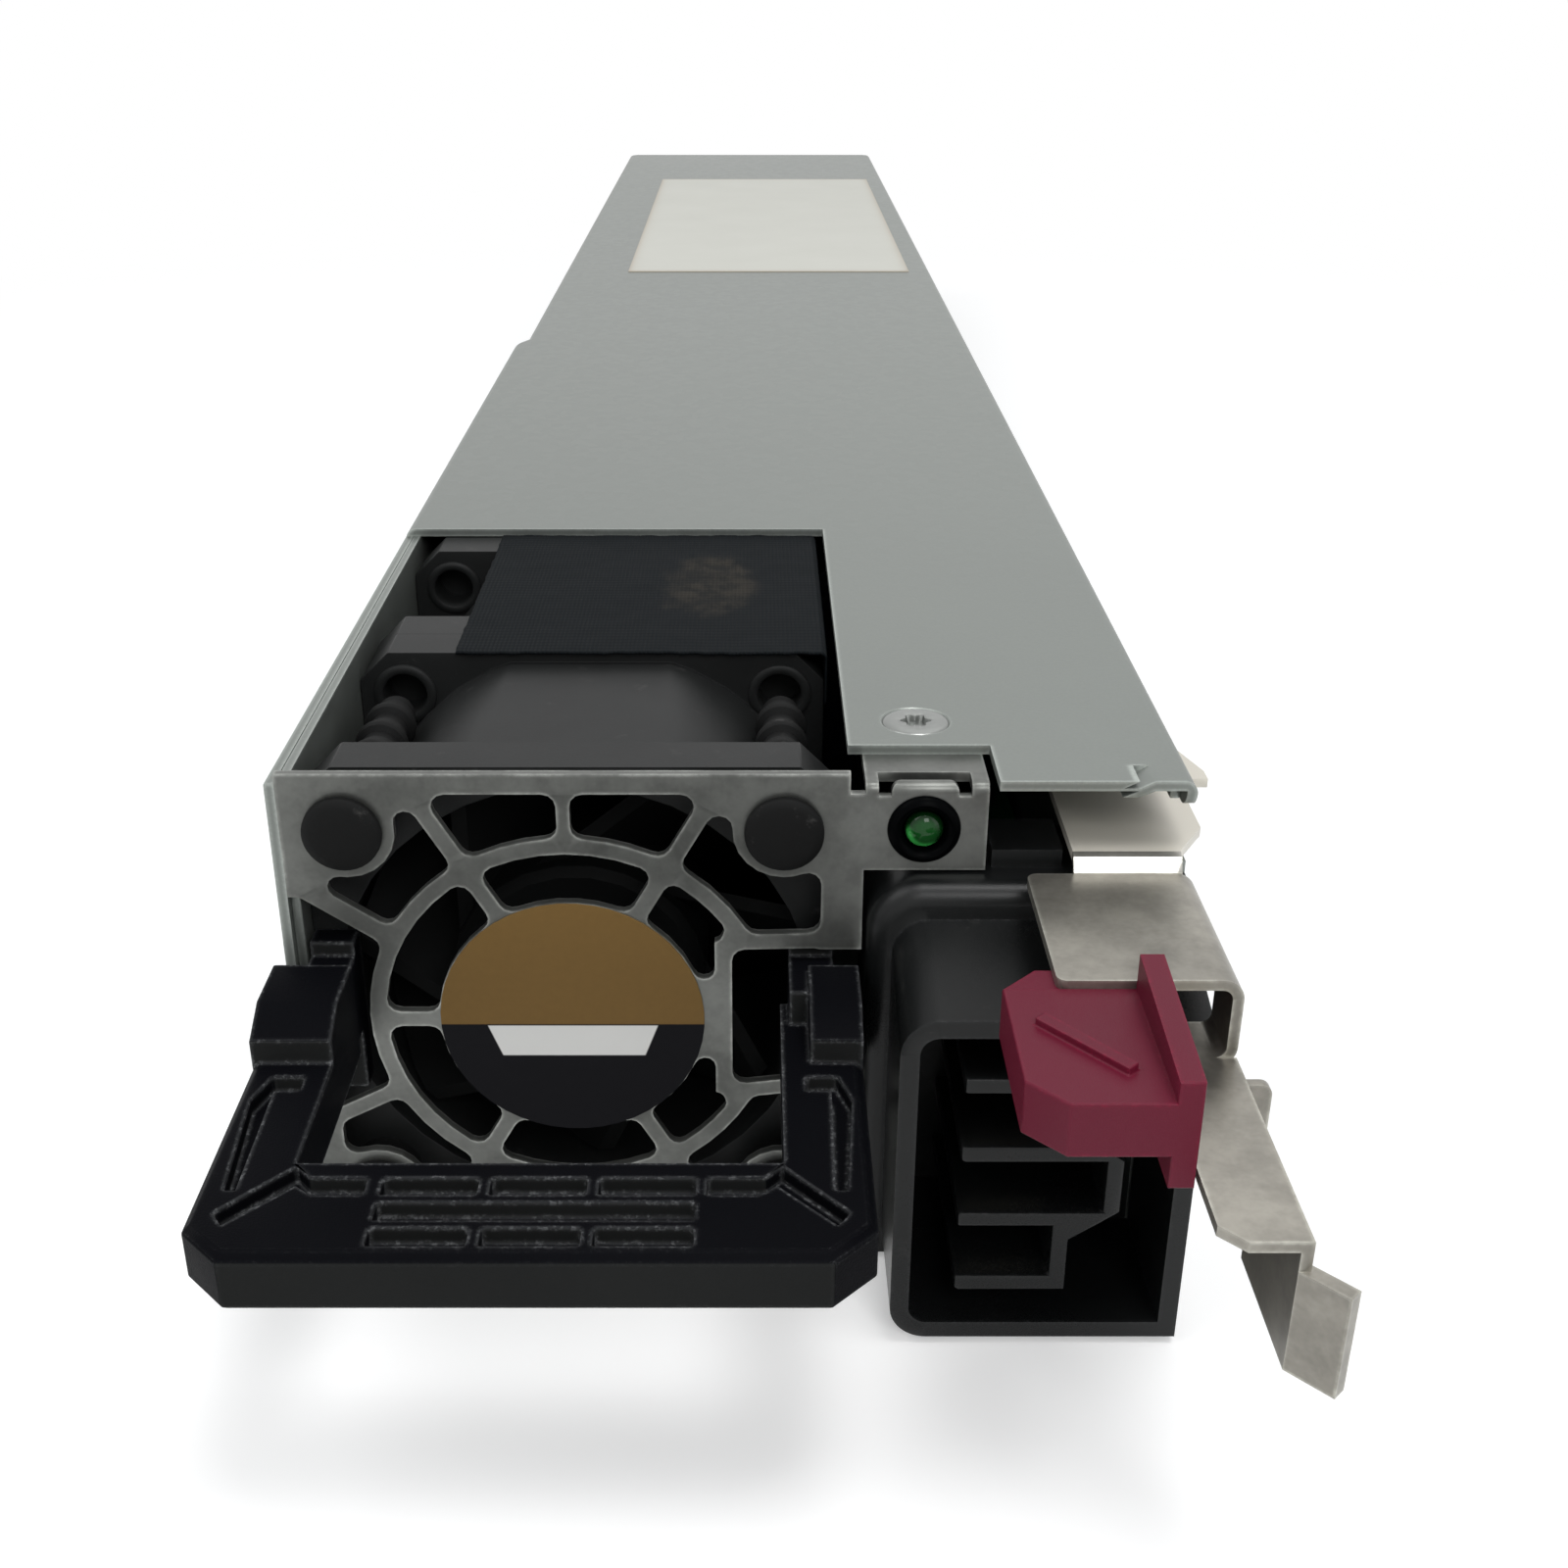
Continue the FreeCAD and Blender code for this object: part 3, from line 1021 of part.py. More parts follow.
def make_handle():
    """A flat U to pull the supply out by, its feet clipped between the plate and the fan."""
    handle = body("Handle")
    back, front = "-handle_gap", "-handle_reach"
    inner_left, inner_right = "handle_left + handle_arm", "handle_right - handle_arm"
    inner_y = "handle_bar - handle_reach"
    plan = [
        ("handle_left", back), ("handle_left", front + " + handle_chamfer"),
        ("handle_left + handle_chamfer", front), ("handle_right - handle_chamfer", front),
        ("handle_right", front + " + handle_chamfer"), ("handle_right", back),
        (inner_right, back), (inner_right, inner_y), (inner_left, inner_y), (inner_left, back),
    ]
    layer(handle, "HandleU", "XY", "handle_bottom", "handle_top", [plan])
    outside = [number("handle_left"), number("handle_right")]
    front_y = number(front)
    heights = [number("handle_top"), number("handle_bottom")]
    chamfer = number("handle_chamfer")
    rounded(handle, "HandleEdges", "handle_edge",
            lambda middle, way: any(near(middle.z, height) for height in heights)
            and (near(middle.y, front_y) or any(near(middle.x, side) for side in outside)
                 or near(middle.y, front_y + chamfer / 2)), kind="PartDesign::Chamfer")

    # The blocks at the arms' rear ends: the left one as wide as its arm, the right one a rib
    block_front = "-handle_gap - block_length"
    blocks = (("handle_left", inner_left), (inner_right + " + handle_arm * 0.35", "handle_right"))
    for index, (low, high) in enumerate(blocks):
        side = [(block_front, "handle_top - handle_edge"), (back, "handle_top - handle_edge"),
                (back, "handle_top + block_rise"),
                (block_front + " + handle_arm / 2", "handle_top + block_rise"),
                (block_front, "handle_top + block_rise * 0.55")]
        layer(handle, "HandleBlock%d" % index, "YZ", low, high, [side])

    # Three rows of grip pockets across the bar, the middle one in one piece
    pockets = []
    for row, count in enumerate((3, 1, 3)):
        near_y = "grip_start + %d * (grip_row + grip_gap) - handle_reach" % row
        width = "(grip_width + grip_gap) / %d" % count
        for index in range(count):
            start = "fan_x - grip_width / 2 + %d * %s" % (index, width)
            pockets.append(rectangle((start, "%s + %s - grip_gap" % (start, width)),
                                     (near_y, near_y + " + grip_row")))

    # On each side a pocket that bends round the corner, and one along the arm's outer border
    row_near = "grip_start + 2 * (grip_row + grip_gap) - handle_reach"
    row_far = row_near + " + grip_row"
    corner = [(0.3, front + " + handle_bar * 0.45"), (1.02, front + " + handle_bar * 0.96"),
              (1.2, row_far), (1.85, row_far), (1.85, row_near), (1.28, row_near),
              (1.08, front + " + handle_bar * 0.75"), (0.44, front + " + handle_bar * 0.32")]
    border = [(0.18, block_front + " - handle_arm * 0.76"), (0.33, block_front + " - grip_row"),
              (0.71, block_front + " - grip_row"), (0.71, block_front + " - 2 * grip_row"),
              (0.41, block_front + " - 2 * grip_row"), (0.44, front + " + handle_bar * 0.7"),
              (0.31, front + " + handle_bar * 0.7")]
    for side, sign in (("handle_left", "+"), ("handle_right", "-")):
        for shape in (corner, border):
            pockets.append([("%s %s %s * handle_arm" % (side, sign, share), depth)
                            for share, depth in shape])
    layer(handle, "HandlePockets", "XY", "handle_top - groove_depth", "handle_top + 1", pockets,
          pocket=True)

    # The feet reach through the plate's notches to the fan's face
    feet = (("fan_left + fan_clearance", "fan_left + fan_clearance + foot_width"),
            ("fan_right - foot_width", "fan_right"))
    for index, (low, high) in enumerate(feet):
        side = rectangle(("-handle_gap - handle_arm / 2", "fan_front"),
                         ("handle_bottom + handle_edge", "handle_top + block_rise - handle_edge"))
        layer(handle, "HandleFoot%d" % index, "YZ", low, high, [side])
        toe = rectangle(("sheet + fan_clearance", "fan_front"),
                        ("handle_bottom - handle_thick", "handle_top + block_rise + handle_edge"))
        layer(handle, "HandleToe%d" % index, "YZ", low, high, [toe])
    sub_part("handle", handle)


# ---------------------------------------------------------------------------------------------
# The mains inlet
# ---------------------------------------------------------------------------------------------


def make_inlet_shroud():
    """The inlet's moulding: a slab that closes the front's right half and the shell before it."""
    shroud = body("InletShroud")
    profile = [("-mouth_reach", "shell_bottom"), ("-slab_front", "shell_bottom"),
               ("-slab_front", "shell_root"), ("-mouth_reach", "shell_top")]
    layer(shroud, "Shell", "YZ", "shell_left", "side_x", [profile])
    shell_x = number("shell_left")
    rounded(shroud, "ShellCorners", "shell_corner",
            lambda middle, way: near(middle.x, shell_x) and abs(way.y) > 5)
    front = rectangle(("inlet_left", "side_x"), ("shell_bottom", "slab_top"))
    layer(shroud, "SlabFront", "XZ", "-slab_front", "0", [front])
    slab = rectangle(("inlet_left", "inner_x - screw_clearance"), ("sheet", "slab_top"))
    layer(shroud, "SlabInside", "XZ", "-slab_front", "slab_depth", [slab])
    left, top = number("inlet_left"), number("slab_top")
    rounded(shroud, "SlabCorner", "slab_corner",
            lambda middle, way: along(way, "y") and near(middle.x, left) and near(middle.z, top))
    face, over, beside = number("-slab_front"), number("shell_root"), number("shell_left")
    rounded(shroud, "SlabEdges", "slab_edge",
            lambda middle, way: near(middle.y, face) and (middle.z > over + 1 / 2
                                                          or middle.x < beside - 1 / 2)
            and not (along(way, "x") and middle.z < over))
    block = rectangle(("lip_start", "arm_left - lever_clearance"),
                      ("sheet + fan_clearance", "slab_depth * 0.75"))
    layer(shroud, "SlabBlock", "XY", "slab_top", "bracket_top", [block])
    cavity = rectangle(("shell_left + shell_wall", "side_x - shell_wall"),
                       ("shell_bottom + shell_wall", "shell_top - shell_wall"))
    layer(shroud, "Cavity", "XZ", "-mouth_reach - 1", "0", [cavity], pocket=True)
    deep = rectangle(("shell_left + shell_wall", "inner_x - shell_wall"),
                     ("shell_bottom + shell_wall", "shell_top - shell_wall"))
    layer(shroud, "CavityDeep", "XZ", "-sheet", "shell_floor", [deep], pocket=True)
    cave_x = number("shell_left + shell_wall")
    rounded(shroud, "CavityCorners", "shell_corner - shell_wall",
            lambda middle, way: near(middle.x, cave_x) and along(way, "y"))
    sub_part("inlet_shroud", shroud)


def make_inlet_insert():
    """The comb inside the shell: four tines with a stepped wall down their right ends."""
    insert = body("InletInsert")
    low = ["tine_low + %d * tine_pitch - tine_thick / 2" % row for row in range(4)]
    high = ["tine_low + %d * tine_pitch + tine_thick / 2" % row for row in range(4)]
    comb = [("tine_left", low[0]), ("comb_right", low[0]),
            ("comb_right", low[1] + " - tine_thick"), ("comb_wide", high[1]),
            ("comb_wide", low[2]), ("comb_right", high[2] + " + tine_thick"),
            ("comb_right", high[3]), ("tine_left", high[3])]
    wall = "tine_thick"
    inner = []
    for row in (2, 1, 0):
        reach = "comb_wide" if row == 1 else "comb_right"
        upper, lower = low[row + 1], high[row]
        inner += [("tine_left", upper), ("%s - %s" % (reach, wall), upper),
                  ("%s - %s" % (reach, wall), lower), ("tine_left", lower)]
    layer(insert, "Comb", "XZ", "-mouth_reach", "shell_floor", [comb + inner])
    sub_part("inlet_insert", insert)


def make_inlet_contacts():
    """Three flat blades, one in each of the insert's chambers."""
    for row, name in enumerate(("neutral", "earth", "line")):
        height = "tine_low + (%d + 0.5) * tine_pitch" % row
        blade = box("Blade", ("tine_left + sheet", "tine_left + sheet + contact_width"),
                    ("contact_back - mouth_reach", "shell_floor"),
                    (height + " - contact_thick / 2", height + " + contact_thick / 2"))
        sub_part("inlet_contact_" + name, blade)


# ---------------------------------------------------------------------------------------------
# The latch
# ---------------------------------------------------------------------------------------------


def make_latch_lever():
    """A folded sheet lever: pivot arm with its tooth, outside plate, lower strip, thumb tab."""
    lever = body("LatchLever")
    joggle_end, channel_end = "-slab_front / 2 - joggle", "-mouth_reach - sheet"
    fold, inner = "lever_side - lever_bend - lever_sheet", "lever_side - lever_sheet"

    # The fold along the right side, a channel at its front and a rolled edge behind it
    channel = [(fold, "plate_top"), ("lever_side", "plate_top"), ("lever_side", "strip_bottom"),
               (fold, "strip_bottom"), (fold, "strip_top"), (inner, "strip_top"),
               (inner, "plate_bottom"), (fold, "plate_bottom")]
    layer(lever, "Channel", "XZ", "-plate_end", channel_end, [channel])
    roll = [(fold, "plate_top"), ("lever_side", "plate_top"),
            ("lever_side", "plate_top - 1.2 * lever_bend"), (inner, "plate_top - 1.2 * lever_bend"),
            (inner, "plate_bottom"), (fold, "plate_bottom")]
    layer(lever, "Roll", "XZ", channel_end, joggle_end, [roll])
    side, wall = number("lever_side"), number(inner)
    outer_z = [number("plate_top"), number("strip_bottom")]
    inner_z = [number("plate_bottom"), number("strip_top")]
    rounded(lever, "OuterBends", "lever_bend",
            lambda middle, way: along(way, "y") and near(middle.x, side)
            and any(near(middle.z, level) for level in outer_z))
    rounded(lever, "InnerBends", "lever_bend - lever_sheet",
            lambda middle, way: along(way, "y") and near(middle.x, wall)
            and any(near(middle.z, level) for level in inner_z))

    arm = [
        ("arm_left", "-slab_front / 2"), ("arm_right", "-slab_front / 2"),
        ("side_x + lever_sheet * 2", "slab_front"), ("side_x + lever_sheet * 2", "tooth_front"),
        ("side_x + tooth_reach", "tooth_front"), ("side_x + tooth_reach", "tooth_front + 1.5"),
        ("inner_x - lever_clearance", "tooth_ramp"), ("inner_x - lever_clearance", "pivot_back"),
        ("inner_x - lever_clearance - lever_tail / 4", "pivot_back + lever_tail"),
        ("pivot_x - lever_tail + lever_clearance", "pivot_back + lever_tail"),
        ("pivot_x - lever_tail + lever_clearance", "pivot_back - lever_tail"),
        ("arm_left", "tooth_ramp"),
    ]
    layer(lever, "PivotArm", "XY", "lever_bottom", "lever_top", [arm])
    step = [("-slab_front / 2", "lever_bottom"), ("-slab_front / 2", "lever_top"),
            ("-slab_front / 2 - joggle / 2", "lever_top - joggle / 6"),
            (joggle_end, "plate_top"), (joggle_end, "plate_bottom"),
            ("-slab_front / 2 - joggle / 3", "lever_bottom - joggle / 6")]
    layer(lever, "Joggle", "YZ", "arm_left", "arm_right", [step])
    outside = [("plate_left", joggle_end), ("plate_left", "-plate_end"), (fold, "-plate_end"),
               (fold, joggle_end)]
    layer(lever, "OutsidePlate", "XY", "plate_bottom", "plate_top", [outside])
    left = number("plate_left")
    rounded(lever, "PlateCorners", "lever_sheet",
            lambda middle, way: along(way, "z") and near(middle.x, left))
    strip_plan = [
        ("strip_left", channel_end), ("strip_left", "-strip_end + lever_bend"),
        ("strip_left + lever_bend", "-strip_end"), ("lever_side", "-strip_end"),
        ("lever_side", "-plate_end"), (fold, "-plate_end"), (fold, channel_end),
    ]
    layer(lever, "LowerStrip", "XY", "strip_bottom", "strip_top", [strip_plan])
    web = rectangle(("-strip_end", "web_length - strip_end"),
                    ("strip_top - web_depth", "strip_top"))
    layer(lever, "Web", "YZ", "lever_side - lever_sheet", "lever_side", [web])
    tab = [(inner, "-strip_end"), ("lever_side", "-strip_end + lever_sheet"),
           ("lever_side + lever_tail * 0.4", "-strip_end - lever_tail * 0.4 + lever_sheet"),
           ("lever_side + lever_tail * 0.4 - lever_sheet", "-strip_end - lever_tail * 0.4")]
    layer(lever, "ThumbTab", "XY", "strip_top - web_depth", "strip_bottom - lever_sheet * 1.8",
          [tab])
    ear = rectangle((inner, "lever_side + lever_tail * 0.3"),
                    ("-plate_end - lever_sheet * 3.6", "-plate_end - lever_sheet * 2.6"))
    layer(lever, "Ear", "XY", "strip_bottom - lever_tail * 0.8", "strip_bottom + lever_sheet / 2",
          [ear])
    tip = number("lever_side + lever_tail * 0.3")
    rounded(lever, "EarCorners", "lever_sheet",
            lambda middle, way: along(way, "y") and near(middle.x, tip))
    layer(lever, "PivotHole", "XY", "lever_bottom - 1", "lever_top + 1", pocket=True,
          circles=[("pivot_x", "pivot_back", "pivot_diameter / 2 + running_gap")])
    sub_part("latch_lever", lever)


def make_latch_cap():
    """The finger cap on the lever's strip: a pad, a falling ridge and a slanting rib."""
    cap = body("LatchCap")
    pad_low, pad_high = "strip_top + cap_bottom", "strip_top + cap_top"
    plan = [
        ("cap_left", "-cap_front + cap_corner"), ("cap_left + cap_corner", "-cap_front"),
        ("cap_right", "-cap_front"), ("cap_right", "-cap_rear"),
        ("cap_left + cap_corner", "-cap_rear"), ("cap_left", "-cap_rear - cap_corner"),
    ]
    layer(cap, "CapPad", "XY", pad_low, "plate_bottom", [plan])
    raised = plan[:3] + [("cap_right", "-plate_end"), ("cap_left", "-plate_end")]
    layer(cap, "CapPadTop", "XY", "plate_bottom", pad_high, [raised])
    ridge = [("-cap_front", "strip_bottom"), ("-plate_end", "strip_bottom"),
             ("-plate_end", "strip_top + ridge_top"),
             ("-cap_front", "strip_top + ridge_top - ridge_fall")]
    layer(cap, "CapRidge", "YZ", "cap_right - ridge_width", "cap_right", [ridge])
    rib = [("cap_left + cap_corner * %s" % across, "-cap_rear - cap_corner * %s" % depth)
           for across, depth in ((0.6, 2.9), (0.9, 2.6), (2.95, 5), (2.65, 5.25))]
    layer(cap, "CapRib", "XY", pad_high + " - ridge_width / 4", pad_high + " + ridge_width / 3",
          [rib])
    sub_part("latch_cap", cap)


def make_latch_mount():
    """The bracket on the tray's wall, the pivot pin and the return spring round it."""
    bracket = body("LatchBracket")
    shelf = rectangle(("pivot_x - lever_tail", "inner_x"),
                      ("pivot_back - lever_tail", "pivot_back + lever_tail"))
    layer(bracket, "Shelf", "XY", "bracket_top - sheet", "bracket_top", [shelf])
    wing = rectangle(("pivot_back - lever_tail", "pivot_back + lever_tail"),
                     ("bracket_top - 2 * lever_tail", "bracket_top"))
    layer(bracket, "Wing", "YZ", "inner_x - sheet", "inner_x", [wing])
    layer(bracket, "PinSeat", "XY", "bracket_top - 2 * sheet", "bracket_top + 1", pocket=True,
          circles=[("pivot_x", "pivot_back", "pivot_diameter / 2")])
    sub_part("latch_bracket", bracket)

    centre = ("pivot_x", "pivot_back")
    shank = rod("PinShaft", "z", "pivot_diameter / 2", centre, "bracket_top - 2 * sheet",
                "cover_under - sheet")
    head = prism("PinCap", "z", 12, "2 * pivot_diameter", centre, "cover_under - 2 * sheet",
                 "cover_under - sheet")
    sub_part("latch_pin", joined("LatchPin", [shank, head]))

    # The return spring, its turns closed up to one sleeve
    bore = "pivot_diameter + 2 * lever_clearance"
    coil = prism("SpringOutside", "z", 12, bore + " + 2 * spring_wire", centre,
                 "lever_top + lever_clearance", "cover_under - 2 * sheet - lever_clearance")
    core = prism("SpringBore", "z", 12, bore, centre, "lever_top", "cover_under")
    sub_part("latch_spring", without("Spring", coil, [core]))


# ---------------------------------------------------------------------------------------------
# Inside the case
# ---------------------------------------------------------------------------------------------


def make_board():
    """The main board with its contact tongue, the sheet under it, its spacers and screws."""
    board = body("MainBoard")
    plan = [
        ("-board_left", "board_start"), ("board_left", "board_start"),
        ("board_left", "board_end"), ("tongue_width / 2", "board_end"),
        ("tongue_width / 2", "case_length + tongue_reach"),
        ("-tongue_width / 2", "case_length + tongue_reach"), ("-tongue_width / 2", "board_end"),
        ("-board_left", "board_end"),
    ]
    layer(board, "Board", "XY", "board_height", "board_top", [plan])
    corners = [("%s(board_left - spacer_inset)" % side, place) for side in ("-", "")
               for place in ("board_start + spacer_inset", "board_end - spacer_inset")]
    layer(board, "BoardHoles", "XY", "board_height - 1", "board_top + 1", pocket=True,
          corners=[regular(x, y, "screw_shank / 2 + screw_clearance", 8) for x, y in corners])
    sub_part("main_board", board)

    wide, narrow = "inner_x - screw_clearance", "board_left - 2 * spacer_inset"
    front, front_notch = "board_start", "board_start + 2 * spacer_inset"
    rear, rear_notch = "board_end", "board_end - 2 * spacer_inset"
    right = [(narrow, front), (narrow, front_notch), (wide, front_notch), (wide, rear_notch),
             (narrow, rear_notch), (narrow, rear)]
    left = [("-(%s)" % across, depth) for across, depth in right[::-1]]
    insulator = body("Insulator")
    layer(insulator, "InsulatorSheet", "XY", "sheet", "sheet + insulator_thick", [right + left])
    sub_part("insulator_sheet", insulator)

    for index, centre in enumerate(corners, 1):
        spacer = without("Spacer", prism("SpacerOutside", "z", 6, "spacer_diameter", centre,
                                         "sheet", "board_height"),
                         [prism("SpacerBore", "z", 6, "screw_shank * cos(30 deg)", centre,
                                "board_height - sheet * 4", "board_height + 1")])
        sub_part("board_spacer_%d" % index, spacer)
        shank = prism("BoardScrewShank", "z", 6, "screw_shank * cos(30 deg)", centre,
                      "board_height - sheet * 4", "board_top + 1")
        head = prism("BoardScrewHead", "z", 6, "screw_head", centre, "board_top",
                     "board_top + 2 * sheet")
        sub_part("board_screw_%d" % index, joined("BoardScrew", [shank, head]))


def make_output_pads():
    """Contact pads over and under the board's tongue: wide power pads and a signal group."""
    ends = ("case_length + sheet", "case_length + tongue_reach - sheet")
    pads = []
    for low, high in (("board_height - pad_thick", "board_height"),
                      ("board_top", "board_top + pad_thick")):
        for left, right in ((-0.46, -0.08), (0.08, 0.46)):
            pads.append(("%.2f * tongue_width" % left, "%.2f * tongue_width" % right, low, high))
        for index in range(3):
            middle = (index - 1) * 0.045
            pads.append(("%.4f * tongue_width" % (middle - 0.015),
                         "%.4f * tongue_width" % (middle + 0.015), low, high))
    strips = [box("Pad", (left, right), ends, (low, high)) for left, right, low, high in pads]
    shapes = doc.addObject("Part::Compound", "OutputPads")
    shapes.Links = strips
    sub_part("output_pads", shapes)


def make_power_parts():
    """The large parts on the board, from the inlet end to the output end."""
    choke_y = "board_start + choke_diameter / 2 + spacer_inset * 2"
    choke_centre = ("choke_diameter / 2 - board_left + sheet", choke_y)
    choke = without("Choke", prism("ChokeOutside", "z", 20, "choke_diameter", choke_centre,
                                   "board_top", "board_top + choke_height"),
                    [prism("ChokeBore", "z", 12, "choke_diameter * 0.4", choke_centre,
                           "board_top - 1", "board_top + choke_height + 1")])
    sub_part("line_choke", choke)

    cap_start = "board_start + capacitor_length + 2 * spacer_inset"
    radius = "capacitor_diameter / 2"
    spots = [("-(%s + sheet)" % radius, cap_start), ("%s + sheet" % radius, cap_start),
             ("%s + sheet" % radius, cap_start + " - capacitor_length - spacer_inset")]
    for index, (across, start) in enumerate(spots, 1):
        can = prism("Capacitor", "y", 32, "capacitor_diameter",
                    (across, "board_top + %s" % radius), start, start + " + capacitor_length")
        sub_part("bulk_capacitor_%d" % index, can)

    core_start = cap_start + " + capacitor_length + spacer_inset"
    across = ("-core_width / 2", "core_width / 2")
    core = body("Core")
    window = "core_width / 5"
    frame = rectangle(across, ("board_top", "board_top + core_height"))
    layer(core, "CoreBlock", "XZ", core_start, core_start + " + core_length", [frame])
    windows = [rectangle(("%s core_width * 0.3 - %s / 2" % (sign, window),
                          "%s core_width * 0.3 + %s / 2" % (sign, window)),
                         ("board_top + core_height / 6", "board_top + core_height * 5 / 6"))
               for sign in ("-", "")]
    layer(core, "CoreWindows", "XZ", core_start + " - 1", core_start + " + core_length + 1",
          windows, pocket=True)
    sub_part("transformer_core", core)
    coil_y = (core_start + " - spacer_inset * 0.6", core_start + " + core_length + "
              "spacer_inset * 0.6")
    coil_z = ("board_top + core_height / 6 + sheet", "board_top + core_height * 5 / 6 - sheet")
    outer = box("CoilOutside", ("-core_width * 0.4 + sheet", "core_width * 0.4 - sheet"), coil_y,
                coil_z)
    inner = box("CoilInside", ("-core_width * 0.2", "core_width * 0.2"),
                (core_start, core_start + " + core_length"), ("0", "case_height"))
    sub_part("transformer_winding", without("Winding", outer, [inner]))

    sink_start = core_start + " + core_length + 3 * spacer_inset"
    for side, sign in (("left", -1), ("right", 1)):
        plate_x = "%d * (board_left - 2 * spacer_inset)" % sign
        sink_y = (sink_start, sink_start + " + sink_length")
        parts = [box("SinkPlate", (plate_x + " - sink_fin / 2", plate_x + " + sink_fin / 2"),
                     sink_y, ("board_top", "board_top + sink_height"))]
        for fin in range(4):
            height = "board_top + sink_height - sink_fin - %d * sink_height / 5" % fin
            reach = (plate_x, "%s - %d * spacer_inset * 2" % (plate_x, sign))
            low, high = reach if sign < 0 else reach[::-1]
            parts.append(box("SinkFin", (low, high), sink_y, (height, height + " + sink_fin")))
        sub_part("heat_sink_" + side, joined("HeatSink", parts))


make_tray()
make_cover()
make_rear_panel()
make_rating_sticker()
make_cover_screw()
make_side_screws()
make_front_plate()
make_fans()
make_mounting_pins()
make_fan_tape()
make_fan_label()
make_lamp()
make_handle()
make_inlet_shroud()
make_inlet_insert()
make_inlet_contacts()
make_latch_lever()
make_latch_cap()
make_latch_mount()
make_board()
make_output_pads()
make_power_parts()

doc.recompute()
failed = [item.Name for item in doc.Objects if "Invalid" in item.State or "Error" in item.State]
if failed:
    raise RuntimeError("these did not build: " + ", ".join(failed))
for label, item in NODES:
    if item.Shape.isNull() or not item.Shape.isValid() or not item.Shape.Solids:
        raise RuntimeError(label + " is not a valid solid")
for item, base in CUTS:
    if item.Shape.Volume > base.Shape.Volume - 0.001:
        raise RuntimeError(item.Label + " takes nothing away")

os.makedirs("parts", exist_ok=True)
for label, item in NODES:
    item.Shape.exportStep("parts/" + label + ".step")
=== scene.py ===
"""Hot swap server power supply: finishes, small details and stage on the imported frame."""

import math

import bmesh
import bpy
from bpy.props import FloatProperty, FloatVectorProperty, PointerProperty
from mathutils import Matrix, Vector, noise


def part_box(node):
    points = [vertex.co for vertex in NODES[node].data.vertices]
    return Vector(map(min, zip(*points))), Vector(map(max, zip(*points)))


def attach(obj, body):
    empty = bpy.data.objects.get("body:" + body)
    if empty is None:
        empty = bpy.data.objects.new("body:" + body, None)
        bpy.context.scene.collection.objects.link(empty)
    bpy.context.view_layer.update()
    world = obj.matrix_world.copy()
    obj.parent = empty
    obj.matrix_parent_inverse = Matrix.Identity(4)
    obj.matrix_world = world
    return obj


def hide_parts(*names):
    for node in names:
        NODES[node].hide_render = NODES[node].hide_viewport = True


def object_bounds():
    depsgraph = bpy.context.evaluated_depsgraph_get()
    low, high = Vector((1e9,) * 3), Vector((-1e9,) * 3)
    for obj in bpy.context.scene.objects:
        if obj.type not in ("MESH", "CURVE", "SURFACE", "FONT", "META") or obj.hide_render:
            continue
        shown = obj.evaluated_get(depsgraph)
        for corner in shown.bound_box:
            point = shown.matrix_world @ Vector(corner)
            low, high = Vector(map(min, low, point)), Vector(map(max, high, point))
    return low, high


bl_info = {
    "name": "Hot swap power supply",
    "version": (1, 0, 0),
    "blender": (4, 5, 0),
    "location": "View3D > Sidebar > Power supply",
    "description": "Finishes, small details and stage of a hot swap server power supply",
    "category": "Object",
}

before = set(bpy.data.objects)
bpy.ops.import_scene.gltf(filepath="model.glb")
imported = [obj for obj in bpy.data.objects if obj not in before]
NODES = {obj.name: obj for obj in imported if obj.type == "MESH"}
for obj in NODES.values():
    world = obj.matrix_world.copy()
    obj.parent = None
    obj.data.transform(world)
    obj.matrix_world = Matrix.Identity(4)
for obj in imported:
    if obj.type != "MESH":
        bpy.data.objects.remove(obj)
CASE_LOW, CASE_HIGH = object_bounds()
MM = 0.001


# ---------------------------------------------------------------------------------------------
# Shader maths
# ---------------------------------------------------------------------------------------------


class Number:
    """A number that a shader works out; arithmetic on it adds Math nodes."""

    def __init__(self, finish, socket):
        self.finish = finish
        self.socket = socket

    def _math(self, operation, *values, clamp=False):
        return self.finish.number(
            "ShaderNodeMath", {"operation": operation, "use_clamp": clamp}, dict(enumerate(values))
        )

    def __add__(self, other):
        return self._math("ADD", self, other)

    def __radd__(self, other):
        return self._math("ADD", other, self)

    def __sub__(self, other):
        return self._math("SUBTRACT", self, other)

    def __rsub__(self, other):
        return self._math("SUBTRACT", other, self)

    def __mul__(self, other):
        return self._math("MULTIPLY", self, other)

    def __rmul__(self, other):
        return self._math("MULTIPLY", other, self)

    def __pow__(self, other):
        return self._math("POWER", self, other)

    def __neg__(self):
        return self._math("MULTIPLY", self, -1.0)

    def absolute(self):
        """The number without its sign."""
        return self._math("ABSOLUTE", self)

    def clamped(self):
        """The number kept between 0 and 1."""
        return self._math("ADD", self, 0.0, clamp=True)

    def sine(self):
        """The sine of the number, in radians."""
        return self._math("SINE", self)

    def between(self, low, high):
        """0 below low, 1 above high, a smooth rise between them."""
        return self.finish.number(
            "ShaderNodeMapRange",
            {"interpolation_type": "SMOOTHSTEP"},
            {"Value": self, "From Min": low, "From Max": high},
        )


